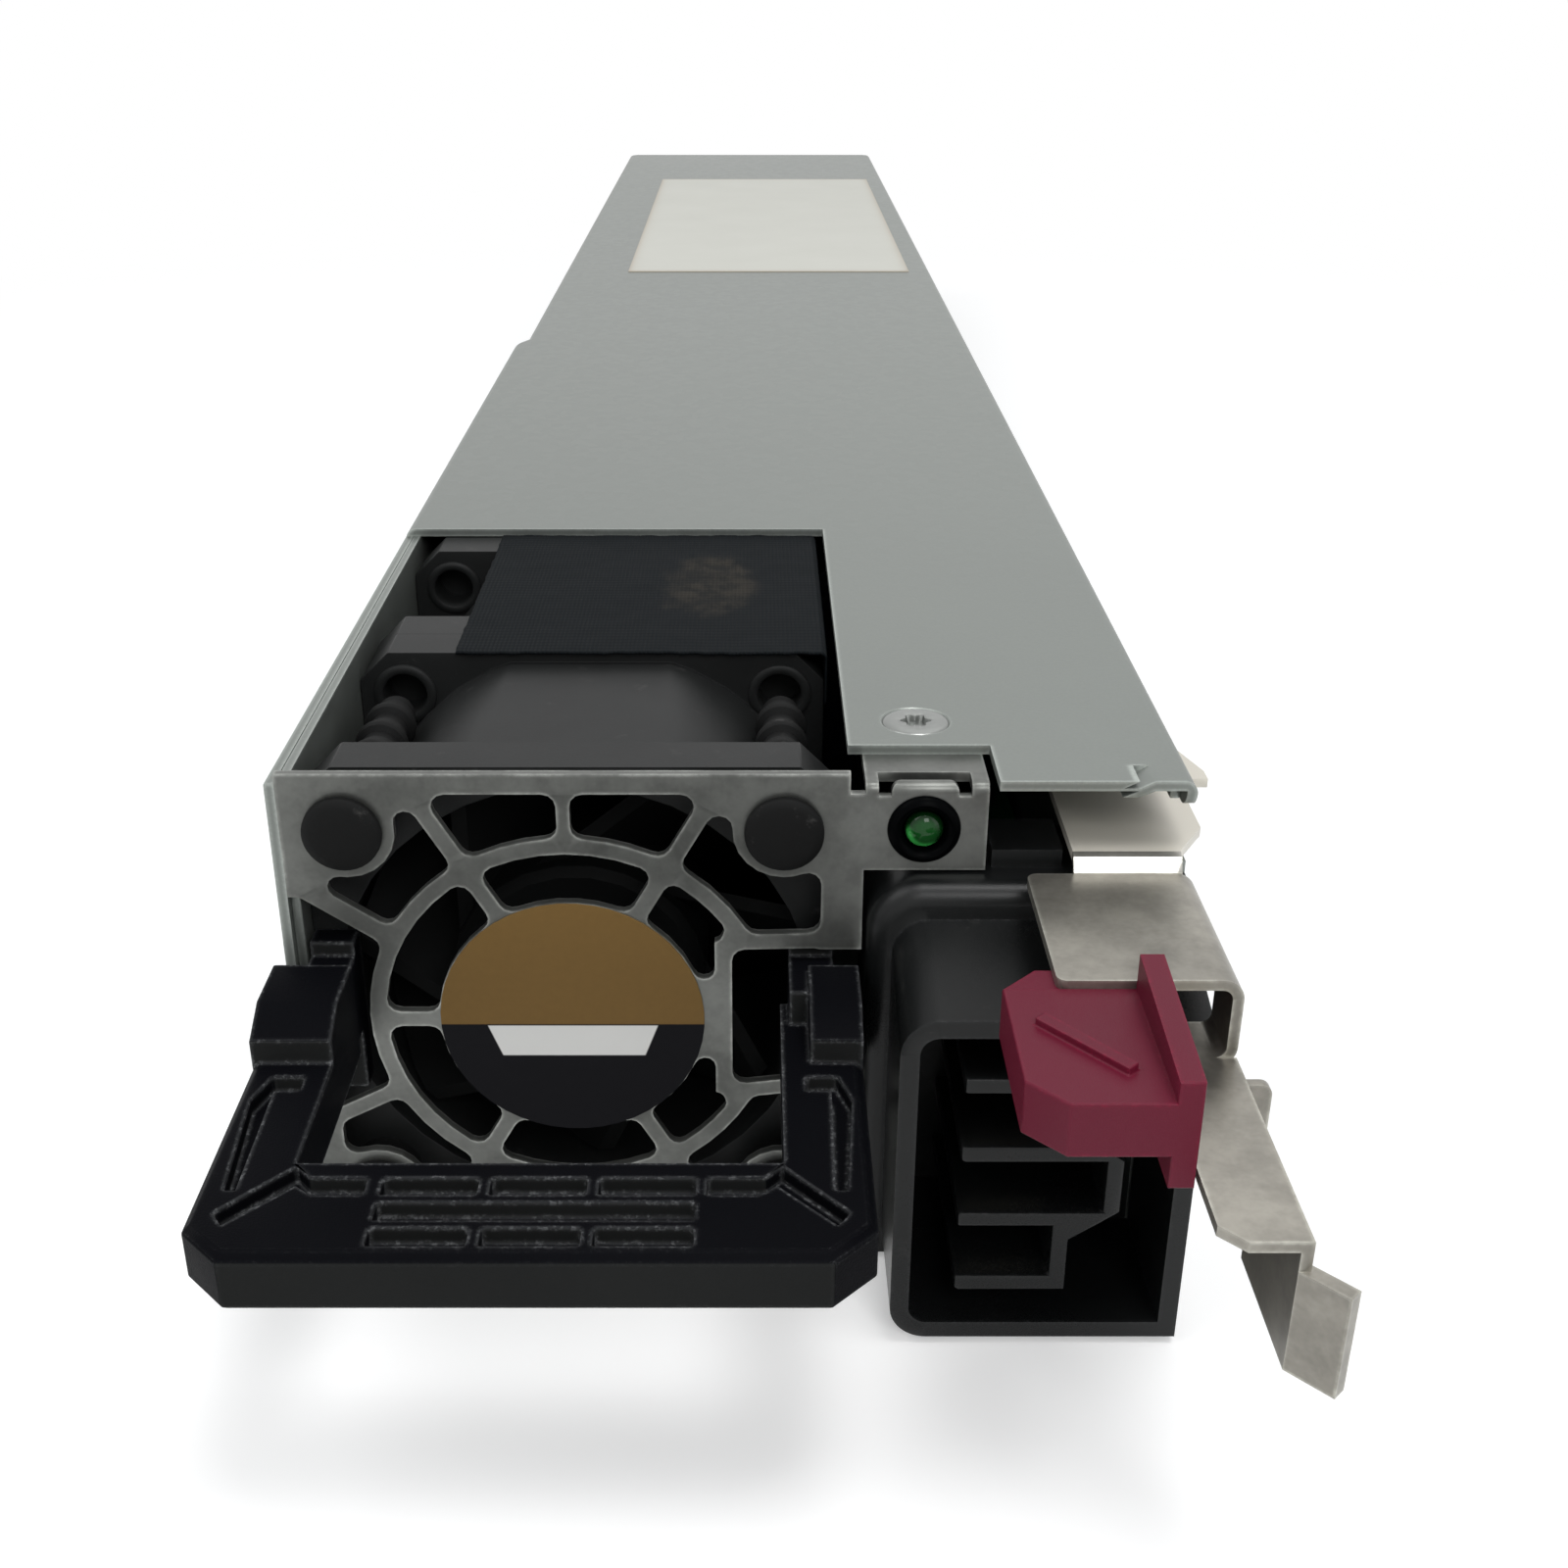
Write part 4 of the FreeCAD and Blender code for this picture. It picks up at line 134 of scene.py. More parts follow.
class Finish:
    """A node material or world, built socket by socket."""

    def __init__(self, name, world=False):
        self.block = (bpy.data.worlds if world else bpy.data.materials).new(name)
        self.block.use_nodes = True
        self.tree = self.block.node_tree
        self.tree.nodes.clear()
        self.output = self.node("ShaderNodeOutputWorld" if world else "ShaderNodeOutputMaterial")
        self.place = self.node("ShaderNodeTexCoord").outputs["Object"]

    def plug(self, value, socket):
        """Link a socket to a Number or a socket, or give it a value of its own."""
        value = getattr(value, "socket", value)
        if isinstance(value, bpy.types.NodeSocket):
            self.tree.links.new(value, socket)
        elif isinstance(value, (tuple, list)) and len(value) == 3 and socket.type == "RGBA":
            socket.default_value = (*value, 1.0)
        else:
            socket.default_value = value

    def node(self, kind, settings=None, values=None):
        """A node of one kind; its settings come first, then its sockets' values or links."""
        node = self.tree.nodes.new(kind)
        for name, value in (settings or {}).items():
            setattr(node, name, value)
        for name, value in (values or {}).items():
            self.plug(value, node.inputs[name])
        return node

    def number(self, kind, settings=None, values=None):
        """The first output of a node, as a Number."""
        return Number(self, self.node(kind, settings, values).outputs[0])

    def part(self, vector, name):
        """The X, Y or Z of a vector."""
        return Number(self, self.node("ShaderNodeSeparateXYZ", {}, {0: vector}).outputs[name])

    def axis(self, name):
        """The X, Y or Z of the place on the object, in metres."""
        return self.part(self.place, name)

    def stretched(self, scale, turn=(0, 0, 0)):
        """Object coordinates scaled by three numbers."""
        return self.node(
            "ShaderNodeMapping", {}, {"Vector": self.place, "Scale": scale, "Rotation": turn}
        ).outputs[0]

    def noise(self, scale, detail, roughness, where=None):
        """Clouds: how many to the metre, with how many finer layers, and how strong those are."""
        values = {
            "Vector": where or self.place, "Scale": scale, "Detail": detail, "Roughness": roughness,
        }
        return self.number("ShaderNodeTexNoise", {}, values)

    def cells(self, scale, where):
        """How far a place is from the middle of its cell."""
        return self.number("ShaderNodeTexVoronoi", {}, {"Vector": where, "Scale": scale})

    def spots(self, scale, where):
        """A random number for each cell of a pattern."""
        cells = self.node("ShaderNodeTexVoronoi", {}, {"Vector": where, "Scale": scale})
        return self.number("ShaderNodeSeparateColor", {}, {0: cells.outputs["Color"]})

    def tinted(self, colour, tone):
        """A colour made lighter and darker by a number."""
        return self.blend(1.0, colour, tone, "MULTIPLY")

    def blend(self, factor, first, second, mode="MIX"):
        """The first colour where the factor is 0, the second where it is 1."""
        node = self.node(
            "ShaderNodeMix", {"data_type": "RGBA", "blend_type": mode, "clamp_factor": True}
        )
        self.plug(factor, node.inputs[0])
        self.plug(first, node.inputs[6])
        self.plug(second, node.inputs[7])
        return node.outputs[2]

    def bump(self, height, distance, strength):
        """A relief from a number, as a normal."""
        values = {"Height": height, "Distance": distance, "Strength": strength}
        return self.node("ShaderNodeBump", {}, values).outputs[0]

    def edges(self, radius):
        """1 along edges and creases, 0 on flat faces."""
        rounded = self.node("ShaderNodeBevel", {"samples": 6}, {"Radius": radius}).outputs[0]
        flat = self.node("ShaderNodeNewGeometry").outputs["Normal"]
        match = self.node(
            "ShaderNodeVectorMath", {"operation": "DOT_PRODUCT"}, {0: rounded, 1: flat}
        )
        return (1 - Number(self, match.outputs["Value"])).between(0.01, 0.16)

    def seen(self):
        """1 for what the camera, a reflection or a clear lens sees, 0 for what light falls on."""
        path = self.node("ShaderNodeLightPath")
        camera, mirror, clear = (
            Number(self, path.outputs["Is %s Ray" % kind])
            for kind in ("Camera", "Glossy", "Transmission")
        )
        return (camera + mirror + clear).clamped()

    def mixed(self, factor, first, second):
        """Two shaders mixed by a factor."""
        return self.node("ShaderNodeMixShader", {}, {0: factor, 1: first, 2: second}).outputs[0]

    def done(self, shader):
        """Plug in the finished shader."""
        self.tree.links.new(shader, self.output.inputs[0])
        return self.block

    def surface(self, **sockets):
        """A Principled surface; a socket's name has underscores for its spaces."""
        shader = self.node("ShaderNodeBsdfPrincipled")
        for name, value in sockets.items():
            self.plug(value, shader.inputs[name.replace("_", " ")])
        return self.done(shader.outputs[0])


# ---------------------------------------------------------------------------------------------
# Finishes
# ---------------------------------------------------------------------------------------------

# How far the painted edge highlight, with the rubbing on metal edges, reaches from an edge, and how
# dark a dull spot is beside a clean one.
EDGE_REACH = 0.5 * MM
DULL = 0.62

# A mesh is shaded smooth over edges flatter than CREASE, and rounded where they turn by CORNER.
CREASE = math.radians(34)
CORNER = math.radians(35)
SAME_POINT = 0.002 * MM


def shade(colour, times, most=1.0):
    """A colour made darker or lighter, with no part of it above most."""
    return tuple(min(times * part, most) for part in colour)


def middle_and_half(node):
    """The middle of a node's box, and half its size."""
    low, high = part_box(node)
    return (low + high) / 2, (high - low) / 2


def zinc_sheet(name, colour, roughness, smudge):
    """Galvanised sheet: a very fine grain, faint clouds, a few dull smudges, and bright edges that
    are a painted highlight, partly rubbed bare.
    """
    finish = Finish(name)
    grains = finish.spots(900, finish.stretched((1, 0.8, 1)))
    clouds = finish.noise(14, 4, 0.5)
    specks = finish.noise(3600, 2, 0.6)
    tone = grains * 0.05 + clouds * 0.22 + specks * 0.12 + 0.80
    wiped = finish.stretched((1, 0.7, 1), (0, 0, 0.5))
    stains = finish.noise(30, 5, 0.62, wiped).between(0.62, 0.80)
    base = finish.tinted(colour, tone)
    base = finish.blend(stains * smudge, base, shade(colour, DULL))
    # Painted highlight along edges, with some rubbing: the sheet is painted lighter there.
    highlight_and_rubbing = finish.edges(1.2 * EDGE_REACH) * (specks * 0.9 + 0.3)
    base = finish.blend(highlight_and_rubbing, base, shade(colour, 2.2, 0.9))
    return finish.surface(
        Base_Color=base,
        Metallic=0.72,
        Roughness=clouds * 0.12 + grains * 0.05 + (roughness - 0.08),
        Normal=finish.bump(specks * 0.7 + grains * 0.3, 0.02 * MM, 0.35),
    )


def rolled_steel(name, colour, roughness, direction):
    """Plated sheet: long fine scratches, a soft cloud, dull spots, and bright edges that are a
    painted highlight, partly rubbed bare.
    """
    finish = Finish(name)
    base, scratch, streaks, dull = plated(finish, colour, direction, highlight_and_rubbing_share=1.0, streak=0.16)
    return finish.surface(
        Base_Color=base,
        Metallic=0.75,
        Roughness=streaks * 0.10 + dull * 0.08 + (roughness - 0.06),
        Normal=scratch,
    )


def latch_plate(name, colour, roughness, direction):
    """Nickel plated sheet, with a painted highlight on its small step, which is also a little
    smoother, and painted paler behind that.
    """
    finish = Finish(name)
    base, scratch, streaks, dull = plated(finish, colour, direction, highlight_and_rubbing_share=0.5, streak=0.08)
    plate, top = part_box("front_plate")[0].y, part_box("latch_lever")[1].z
    back, up = finish.axis("Y"), finish.axis("Z")
    strip, step_front, step_back = top - 1.24 * MM, plate - 2.62 * MM, plate - 1.40 * MM
    soft = 0.10 * MM
    # Masks of painted light: step is the small step, given a painted highlight, and behind is the
    # part behind it, in shade under the cover, painted paler and less metallic as if lit.
    high = up.between(strip, strip + soft)
    past_step = back.between(step_back, step_back + soft)
    step = high * back.between(step_front, step_front + 1.2 * soft) * (1 - past_step)
    behind = high * past_step
    ribbed = streaks * 0.7 + 0.35
    # Painted highlight on the step, broken up by the streaks.
    base = finish.blend(step * ribbed, base, (0.46, 0.45, 0.42))
    # Painted light on the shaded part behind the step.
    base = finish.blend(behind, base, shade(colour, 2.2, 0.8))
    return finish.surface(
        Base_Color=base,
        Metallic=0.72 - behind * 0.5,
        Roughness=streaks * 0.10 + dull * 0.08 + (roughness - 0.06) - step * 0.1,
        Normal=scratch,
    )


def plated(finish, colour, direction, highlight_and_rubbing_share, streak):
    """The colour, the bump and the two masks that plated sheets share."""
    streaks = finish.noise(900, 4, 0.7, finish.stretched(direction))
    clouds = finish.noise(60, 3, 0.5)
    pits = finish.noise(1900, 2, 0.6)
    mottled = finish.noise(230, 4, 0.65).between(0.36, 0.64)
    tone = streaks * streak + clouds.between(0.34, 0.66) * 0.26 + mottled * 0.24 + pits * 0.2
    base = finish.tinted(colour, tone + (0.54 - streak / 2))
    dull = finish.noise(130, 4, 0.6).between(0.58, 0.74)
    base = finish.blend(dull * 0.3, base, shade(colour, DULL))
    # Painted highlight along edges, partly rubbed bare metal, broken into patches and pits.
    patchy = finish.noise(210, 4, 0.65).between(0.40, 0.60) * 0.75 + 0.25
    highlight_and_rubbing = finish.edges(EDGE_REACH) * patchy * (pits * 1.2 + 0.2) * highlight_and_rubbing_share
    base = finish.blend(highlight_and_rubbing, base, shade(colour, 3.0, 0.85))
    return base, finish.bump(streaks * 0.6 + pits * 0.4, 0.03 * MM, 0.4), streaks, dull


def moulded_plastic(
    name, colour, roughness, grain_size, grain_depth, waves=0.0, dust=0.0, glint=0.0,
    specular=0.15, rubbed=(0.36, 0.37, 0.38), face=None,
):
    """Moulded plastic: spark-eroded grain, slow waves of gloss, a little dust, a painted highlight
    on edges.

    grain_size and grain_depth are in metres. waves, dust and glint are shares, 0 for none. face
    is the lighter colour painted on faces that look forward, as painted light, and rubbed is the
    colour of the painted highlight along edges.
    """
    finish = Finish(name)
    grain = finish.noise(1 / grain_size, 3, 0.65)
    slow = finish.noise(90, 3, 0.5)
    tone = slow * 0.30 + grain * 0.16 + 0.78
    # Painted light: faces that look forward are painted in the lighter face colour, as if lit from
    # the front.
    if face:
        facing = finish.node("ShaderNodeNewGeometry").outputs["Normal"]
        front = (-finish.part(facing, "Y")).between(0.80, 0.98)
        colour = finish.blend(front, colour, face)
    base = finish.tinted(colour, tone)
    if dust:
        settled = finish.noise(460, 5, 0.72).between(0.60, 0.82) * dust
        base = finish.blend(settled, base, (0.15, 0.145, 0.14))
    # Painted highlight: a speckled glint in the rubbed colour along edges and creases.
    if glint:
        speckle = finish.noise(2300, 3, 0.7).between(0.50, 0.66) * 0.75 + 0.25
        base = finish.blend(finish.edges(1.2 * EDGE_REACH) * speckle * glint, base, rubbed)
    height = grain
    if waves:
        height = grain + finish.noise(260, 2, 0.5) * waves
    return finish.surface(
        Base_Color=base,
        Roughness=slow * 0.16 + grain * 0.12 + (roughness - 0.12),
        Specular_IOR_Level=specular,
        Normal=finish.bump(height, grain_depth, 0.6),
    )


def woven_tape(name, colour):
    """Black cloth tape: ribs of warp over a fainter weft, and one rubbed, dusty patch."""
    finish = Finish(name)
    across, back = finish.axis("X"), finish.axis("Y")
    thread = 0.36 * MM
    warp = (across * (2 * math.pi / thread)).sine()
    weft = (back * (math.pi / thread)).sine()
    weave = warp * 0.38 + weft * 0.08 + 0.5
    middle = middle_and_half("fan_tape")[0]
    patch_x, patch_y = middle.x + 5.2 * MM, middle.y + 2.0 * MM
    half_wide, half_long = 4.6 * MM, 9.0 * MM
    offset_x = (across - patch_x) * (1 / half_wide)
    offset_y = (back - patch_y) * (1 / half_long)
    reach = offset_x * offset_x + offset_y * offset_y
    ragged = reach + finish.noise(130, 5, 0.75) * 3.4 - 1.7
    patch = 1 - ragged.between(0.3, 1.2)
    rubbed = patch * (finish.noise(420, 4, 0.7).between(0.40, 0.62) * 0.5 + 0.2)
    flecks = finish.noise(700, 5, 0.75).between(0.68, 0.78)
    base = finish.blend(weave * 0.5, colour, shade(colour, 2.2))
    base = finish.blend(rubbed, base, (0.036, 0.032, 0.026))
    base = finish.blend(flecks * 0.30, base, (0.12, 0.11, 0.10))
    return finish.surface(
        Base_Color=base,
        Roughness=weave * 0.12 + 0.62,
        Specular_IOR_Level=0.04,
        Normal=finish.bump(weave, 0.09 * MM, 0.7),
    )


def two_tone_label(name, upper, lower, white):
    """The grille's round label: a bronze upper half, a dark lower half, a bare white tab."""
    finish = Finish(name)
    centre, half = middle_and_half("fan_label")
    x = (finish.axis("X") - centre.x) * (1 / half.x)
    z = (finish.axis("Z") - centre.z) * (1 / half.x)
    divide, crisp = -0.045, 0.012
    tab_width, tab_foot, tab_slant = 0.655, -0.325, 0.38
    sheen = finish.noise(1500, 3, 0.6)
    bronze = finish.blend(z * 0.5 + sheen * 0.5, shade(upper, 0.72), upper)
    base = finish.blend((z - divide).between(0.0, crisp), lower, bronze)
    side = (tab_width - (divide - z) * tab_slant - x.absolute()).between(0.0, crisp)
    head = (divide - z).between(0.0, crisp)
    foot = (z - tab_foot).between(0.0, crisp)
    base = finish.blend(side * head * foot, base, white)
    return finish.surface(
        Base_Color=base, Roughness=sheen * 0.08 + 0.36, Specular_IOR_Level=0.08
    )


def paper_sticker(name, colour):
    """A bare off-white sticker, faintly yellowed towards its edges."""
    finish = Finish(name)
    middle, half = middle_and_half("rating_sticker")
    x = ((finish.axis("X") - middle.x) * (1 / half.x)).absolute()
    y = ((finish.axis("Y") - middle.y) * (1 / half.y)).absolute()
    mottled = finish.noise(70, 4, 0.6)
    edge = (x ** 40.0 + y ** 90.0).clamped()
    base = finish.blend(mottled * 0.5, colour, shade(colour, 0.90))
    base = finish.blend(edge * 0.8, base, (0.42, 0.36, 0.28))
    return finish.surface(
        Base_Color=base, Roughness=mottled * 0.1 + 0.42, Specular_IOR_Level=0.25
    )


def lamp_lens(name, colour):
    """A dark green lens with painted light: a paler centre and a bright crescent low on its left.
    """
    finish = Finish(name)
    middle, half = middle_and_half("lamp_lens")
    x = (finish.axis("X") - middle.x) * (1 / half.x)
    z = (finish.axis("Z") - middle.z) * (1 / half.z)
    out = x * x + z * z
    # ring, crescent and heart are masks of painted light: a crescent of light low on the left and a
    # paler centre.
    ring = out.between(0.22, 0.62) * (1 - out.between(0.70, 0.95))
    crescent = ring * (x * -0.55 - z * 0.85 + 0.1).between(0.15, 0.75)
    heart = 1 - out.between(0.1, 0.9)
    base = finish.blend(heart, shade(colour, 0.04), shade(colour, 0.16))
    base = finish.blend(crescent, base, colour)
    return finish.surface(
        Base_Color=base, Roughness=heart * 0.02 + 0.05, Specular_IOR_Level=0.24
    )


def plain_metal(name, colour, roughness, grain):
    """Turned or plated metal with a fine grain, so many to the metre."""
    finish = Finish(name)
    fine = finish.noise(grain, 3, 0.6)
    slow = finish.noise(200, 3, 0.5)
    return finish.surface(
        Base_Color=finish.tinted(colour, fine * 0.2 + slow * 0.3 + 0.72),
        Metallic=0.95,
        Roughness=fine * 0.12 + (roughness - 0.05),
        Normal=finish.bump(fine, 0.02 * MM, 0.3),
    )


def circuit_board(name, mask):
    """Green solder mask over copper areas."""
    finish = Finish(name)
    traces = finish.cells(150, finish.stretched((1, 0.5, 1))).between(0.16, 0.20)
    grain = finish.noise(900, 3, 0.5)
    base = finish.blend(traces * 0.6, shade(mask, 1.7), mask)
    base = finish.blend(grain * 0.2, base, (0.01, 0.05, 0.02))
    return finish.surface(
        Base_Color=base,
        Roughness=grain * 0.15 + 0.32,
        Normal=finish.bump(traces, 0.04 * MM, 0.4),
    )


def copper_turns(name, colour, pitch):
    """Varnished wire wound side by side."""
    finish = Finish(name)
    ridges = (finish.axis("Y") * (2 * math.pi / pitch)).sine() * 0.5 + 0.5
    slow = finish.noise(180, 3, 0.5)
    return finish.surface(
        Base_Color=finish.blend(ridges * 0.6 + slow * 0.2, shade(colour, 0.35), colour),
        Metallic=0.55,
        Roughness=slow * 0.2 + 0.3,
        Normal=finish.bump(ridges, 0.2 * MM, 0.8),
    )


def named(start):
    """The nodes whose names start so."""
    return [name for name in NODES if name.startswith(start)]


def dress(nodes, material):
    """Give nodes one material."""
    for name in nodes:
        mesh = NODES[name].data
        mesh.materials.clear()
        mesh.materials.append(material)


def smooth_curves():
    """A node group that shades a mesh smooth but for edges sharper than CREASE."""
    group = bpy.data.node_groups.get("Smooth curves")
    if group:
        return group
    group = bpy.data.node_groups.new("Smooth curves", "GeometryNodeTree")
    for way in ("INPUT", "OUTPUT"):
        group.interface.new_socket("Geometry", in_out=way, socket_type="NodeSocketGeometry")
    start, end = group.nodes.new("NodeGroupInput"), group.nodes.new("NodeGroupOutput")
    faces = group.nodes.new("GeometryNodeSetShadeSmooth")
    corners = group.nodes.new("GeometryNodeSetShadeSmooth")
    corners.domain = "EDGE"
    corners.inputs["Shade Smooth"].default_value = False
    angle = group.nodes.new("GeometryNodeInputMeshEdgeAngle")
    sharp = group.nodes.new("FunctionNodeCompare")
    sharp.operation = "GREATER_THAN"
    sharp.inputs[1].default_value = CREASE
    for output, socket in (
        (start.outputs[0], faces.inputs["Geometry"]),
        (faces.outputs[0], corners.inputs["Geometry"]),
        (angle.outputs["Unsigned Angle"], sharp.inputs[0]),
        (sharp.outputs[0], corners.inputs["Selection"]),
        (corners.outputs[0], end.inputs[0]),
    ):
        group.links.new(output, socket)
    return group


def soften(nodes, width=0.0, segments=2):
    """Shade the curved faces of nodes smooth; with a width, round their sharp edges too."""
    for name in nodes:
        item = NODES[name]
        weld = item.modifiers.new("Weld", "WELD")
        weld.merge_threshold = SAME_POINT
        if width:
            bevel = item.modifiers.new("Rounded edges", "BEVEL")
            bevel.width = width
            bevel.segments = segments
            bevel.limit_method = "ANGLE"
            bevel.angle_limit = CORNER
            bevel.use_clamp_overlap = True
        smooth = item.modifiers.new("Smooth curves", "NODES")
        smooth.node_group = smooth_curves()
        even = item.modifiers.new("Even shading", "WEIGHTED_NORMAL")
        even.keep_sharp = True


# ---------------------------------------------------------------------------------------------
# Meshes
# ---------------------------------------------------------------------------------------------


def linked(name, data):
    """An object of a mesh, curve, lamp or camera, in the scene."""
    item = bpy.data.objects.new(name, data)
    bpy.context.scene.collection.objects.link(item)
    return item


def placed(name, form, body, material, sharp=CORNER):
    """An object of one bmesh that rides on a body, smooth but for its corners."""
    mesh = bpy.data.meshes.new(name)
    form.to_mesh(mesh)
    form.free()
    mesh.materials.append(material)
    for face in mesh.polygons:
        face.use_smooth = True
    mesh.set_sharp_from_angle(angle=sharp)
    item = linked(name, mesh)
    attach(item, body)
    return item


def turned(name, profile, centre, axis, body, material, segments, lobes=None):
    """A turned piece: profile is (radius, height) in millimetres, from one end to the other.

    lobes is (first, last, count, depth): the rings of a recess drawn as a star of round lobes.
    Where neither end closes on the axis, the last ring is joined to the first.
    """
    along = Vector(axis)
    turn = Vector((0, 0, 1)).rotation_difference(along).to_matrix()
    form = bmesh.new()
    rings = []
    for index, (radius, height) in enumerate(profile):
        if not radius:
            rings.append([form.verts.new(centre + along * height * MM)])
            continue
        ring = []
        for step in range(segments):
            angle = 2 * math.pi * step / segments
            reach = radius
            if lobes and lobes[0] <= index <= lobes[1]:
                reach = radius * (1 + lobes[3] * math.cos(lobes[2] * angle))
            spot = Vector((reach * math.cos(angle), reach * math.sin(angle), height)) * MM
            ring.append(form.verts.new(centre + turn @ spot))
        rings.append(ring)
    for low, high in zip(rings, rings[1:]):
        for step in range(segments):
            after = (step + 1) % segments
            corners = [
                low[step % len(low)], low[after % len(low)],
                high[after % len(high)], high[step % len(high)],
            ]
            corners = list(dict.fromkeys(corners))
            if len(corners) > 2:
                form.faces.new(corners)
    if len(rings[0]) > 1 and len(rings[-1]) > 1:
        for step in range(segments):
            after = (step + 1) % segments
            form.faces.new([rings[-1][step], rings[-1][after], rings[0][after], rings[0][step]])
    bmesh.ops.recalc_face_normals(form, faces=form.faces)
    return placed(name, form, body, material)


def wound_wire(name, points, radius, body, material):
    """A round wire through points."""
    curve = bpy.data.curves.new(name, "CURVE")
    curve.dimensions = "3D"
    curve.bevel_depth = radius
    curve.bevel_resolution = 3
    curve.use_fill_caps = True
    spline = curve.splines.new("NURBS")
    spline.points.add(len(points) - 1)
    for knot, point in zip(spline.points, points):
        knot.co = (*point, 1)
    spline.order_u = 4
    spline.use_endpoint_u = True
    curve.materials.append(material)
    item = linked(name, curve)
    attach(item, body)
    return item


# ---------------------------------------------------------------------------------------------
# Sizes and colours that a user may change
# ---------------------------------------------------------------------------------------------


def colour(name, description, default):
    """A colour that a user may change."""
    return FloatVectorProperty(
        name=name, description=description, default=default, subtype="COLOR", size=3, min=0, max=1
    )


def length(name, description, default):
    """A length that a user may change."""
    return FloatProperty(
        name=name, description=description, default=default, subtype="DISTANCE", unit="LENGTH",
        min=0.0, precision=5,
    )


class SupplyColours(bpy.types.PropertyGroup):
    """Colours of the supply's finishes."""

    case: colour("Case sheet", "Galvanised steel of the case", (0.205, 0.221, 0.207))
    front: colour("Front plate", "Zinc of the fan grille", (0.150, 0.155, 0.145))
    latch: colour("Latch steel", "Nickel plated lever", (0.30, 0.285, 0.25))
    screw: colour("Screws", "Bright screws", (0.28, 0.29, 0.28))
    handle: colour("Handle", "Black moulded handle", (0.0036, 0.0038, 0.0050))
    inlet: colour("Inlet", "Black inlet moulding", (0.0060, 0.0066, 0.0068))
    fans: colour("Fans", "Black fan frames", (0.0125, 0.0132, 0.0132))
    rubber: colour("Pins", "Rubber mounting pins", (0.0060, 0.0062, 0.0062))
    tape: colour("Tape", "Black cloth tape", (0.0050, 0.0062, 0.0072))
    label_upper: colour("Label, upper half", "Bronze", (0.205, 0.122, 0.040))
    label_lower: colour("Label, lower half", "Nearly black", (0.0036, 0.0036, 0.0050))
    label_tab: colour("Label tab", "White", (0.66, 0.66, 0.64))
    sticker: colour("Sticker", "Bare off-white sticker", (0.60, 0.60, 0.545))
    cap: colour("Latch cap", "Crimson finger cap", (0.120, 0.0080, 0.0240))
    # The lens colour is the painted light of its bright crescent; the rest of the lens is painted
    # in darker shares of it.
    lens: colour("Lamp lens", "Green lens", (0.05, 0.42, 0.08))
    board: colour("Board", "Solder mask", (0.012, 0.090, 0.030))


class SupplySizes(bpy.types.PropertyGroup):
    """Sizes of the details that aren't in the frame, and where the camera stands."""

    sheet_edge: length("Sheet edges", "Rounding of sheet metal edges", 0.12 * MM)
    pin_rib: length("Pin ribs", "Radius of a mounting pin's ribs", 2.15 * MM)
    pin_neck: length("Pin neck", "Radius of a mounting pin between its ribs", 1.55 * MM)
    wire: length("Spring wire", "Radius of the latch spring's wire", 0.21 * MM)
    moulded_edge: length("Moulded edges", "Rounding of plastic edges", 0.28 * MM)
    lens_distance: length("Camera distance", "Camera in front of the front plate", 117.4 * MM)
    lens_height: length("Camera height", "Camera above the case's top", 54.8 * MM)
    lens_side: length("Camera side", "Camera right of the case's middle", 1.05 * MM)
    lens_tilt: FloatProperty(
        name="Camera tilt", description="Camera's angle below the horizon",
        default=math.radians(25.32), subtype="ANGLE", unit="ROTATION",
    )
    lens_focal: FloatProperty(
        name="Focal length", description="Focal length on a 36 mm frame, in millimetres",
        default=41.175, min=1,
    )
    lens_shift: FloatProperty(
        name="Camera shift", description="Sideways shift as a share of the frame's width",
        default=0.0194,
    )


def chosen(name):
    """The colour chosen for a finish."""
    return tuple(getattr(bpy.context.scene.supply_colours, name))


def sizes():
    """The sizes chosen for the details and the camera."""
    return bpy.context.scene.supply_sizes


# ---------------------------------------------------------------------------------------------
# Pieces
# ---------------------------------------------------------------------------------------------


class SUPPLY_OT_case(bpy.types.Operator):
    """Finish the case: tray, cover, rear panel, sticker and screws"""

    bl_idname = "supply.case"
    bl_label = "Case"

    def execute(self, context):
        case = zinc_sheet("galvanised sheet", chosen("case"), roughness=0.40, smudge=0.25)
        dress(["tray", "cover", "rear_panel"], case)
        dress(["rating_sticker"], paper_sticker("bare sticker", chosen("sticker")))
        zinc = plain_metal("zinc screws", chosen("screw"), roughness=0.3, grain=2500)
        dress(named("board_screw"), zinc)
        self.screw("cover_screw", (0, 0, 1), zinc, proud=0.10)
        self.screw("side_screw_left", (-1, 0, 0), zinc)
        self.screw("side_screw_right", (1, 0, 0), zinc)
        soften(["cover", "tray"], sizes().sheet_edge)
        return {"FINISHED"}

    def screw(self, name, axis, zinc, proud=0.0):
        """A low pan head with a six-lobed recess, over a short length of shank."""
        middle, half = middle_and_half(name)
        along = Vector(axis)
        depth = abs(half.dot(along)) / MM
        radius = max(part for part, way in zip(half, along) if not way) / MM
        top, recess, shank = depth + proud, 0.55, 0.52 * radius
        profile = (
            (0.0, top - recess), (0.34 * radius, top - recess), (0.40 * radius, top - 0.05),
            (0.44 * radius, top), (0.74 * radius, top - 0.03), (0.90 * radius, top - 0.08),
            (0.97 * radius, top - 0.16), (radius, top - 0.28), (0.98 * radius, top - 0.40),
            (shank, depth - 0.75), (shank, -depth), (0.0, -depth),
        )
        lobes = (1, 3, 6, 0.16)
        head = turned(name + "_head", profile, middle, axis, "case", zinc, 72, lobes)
        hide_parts(name)


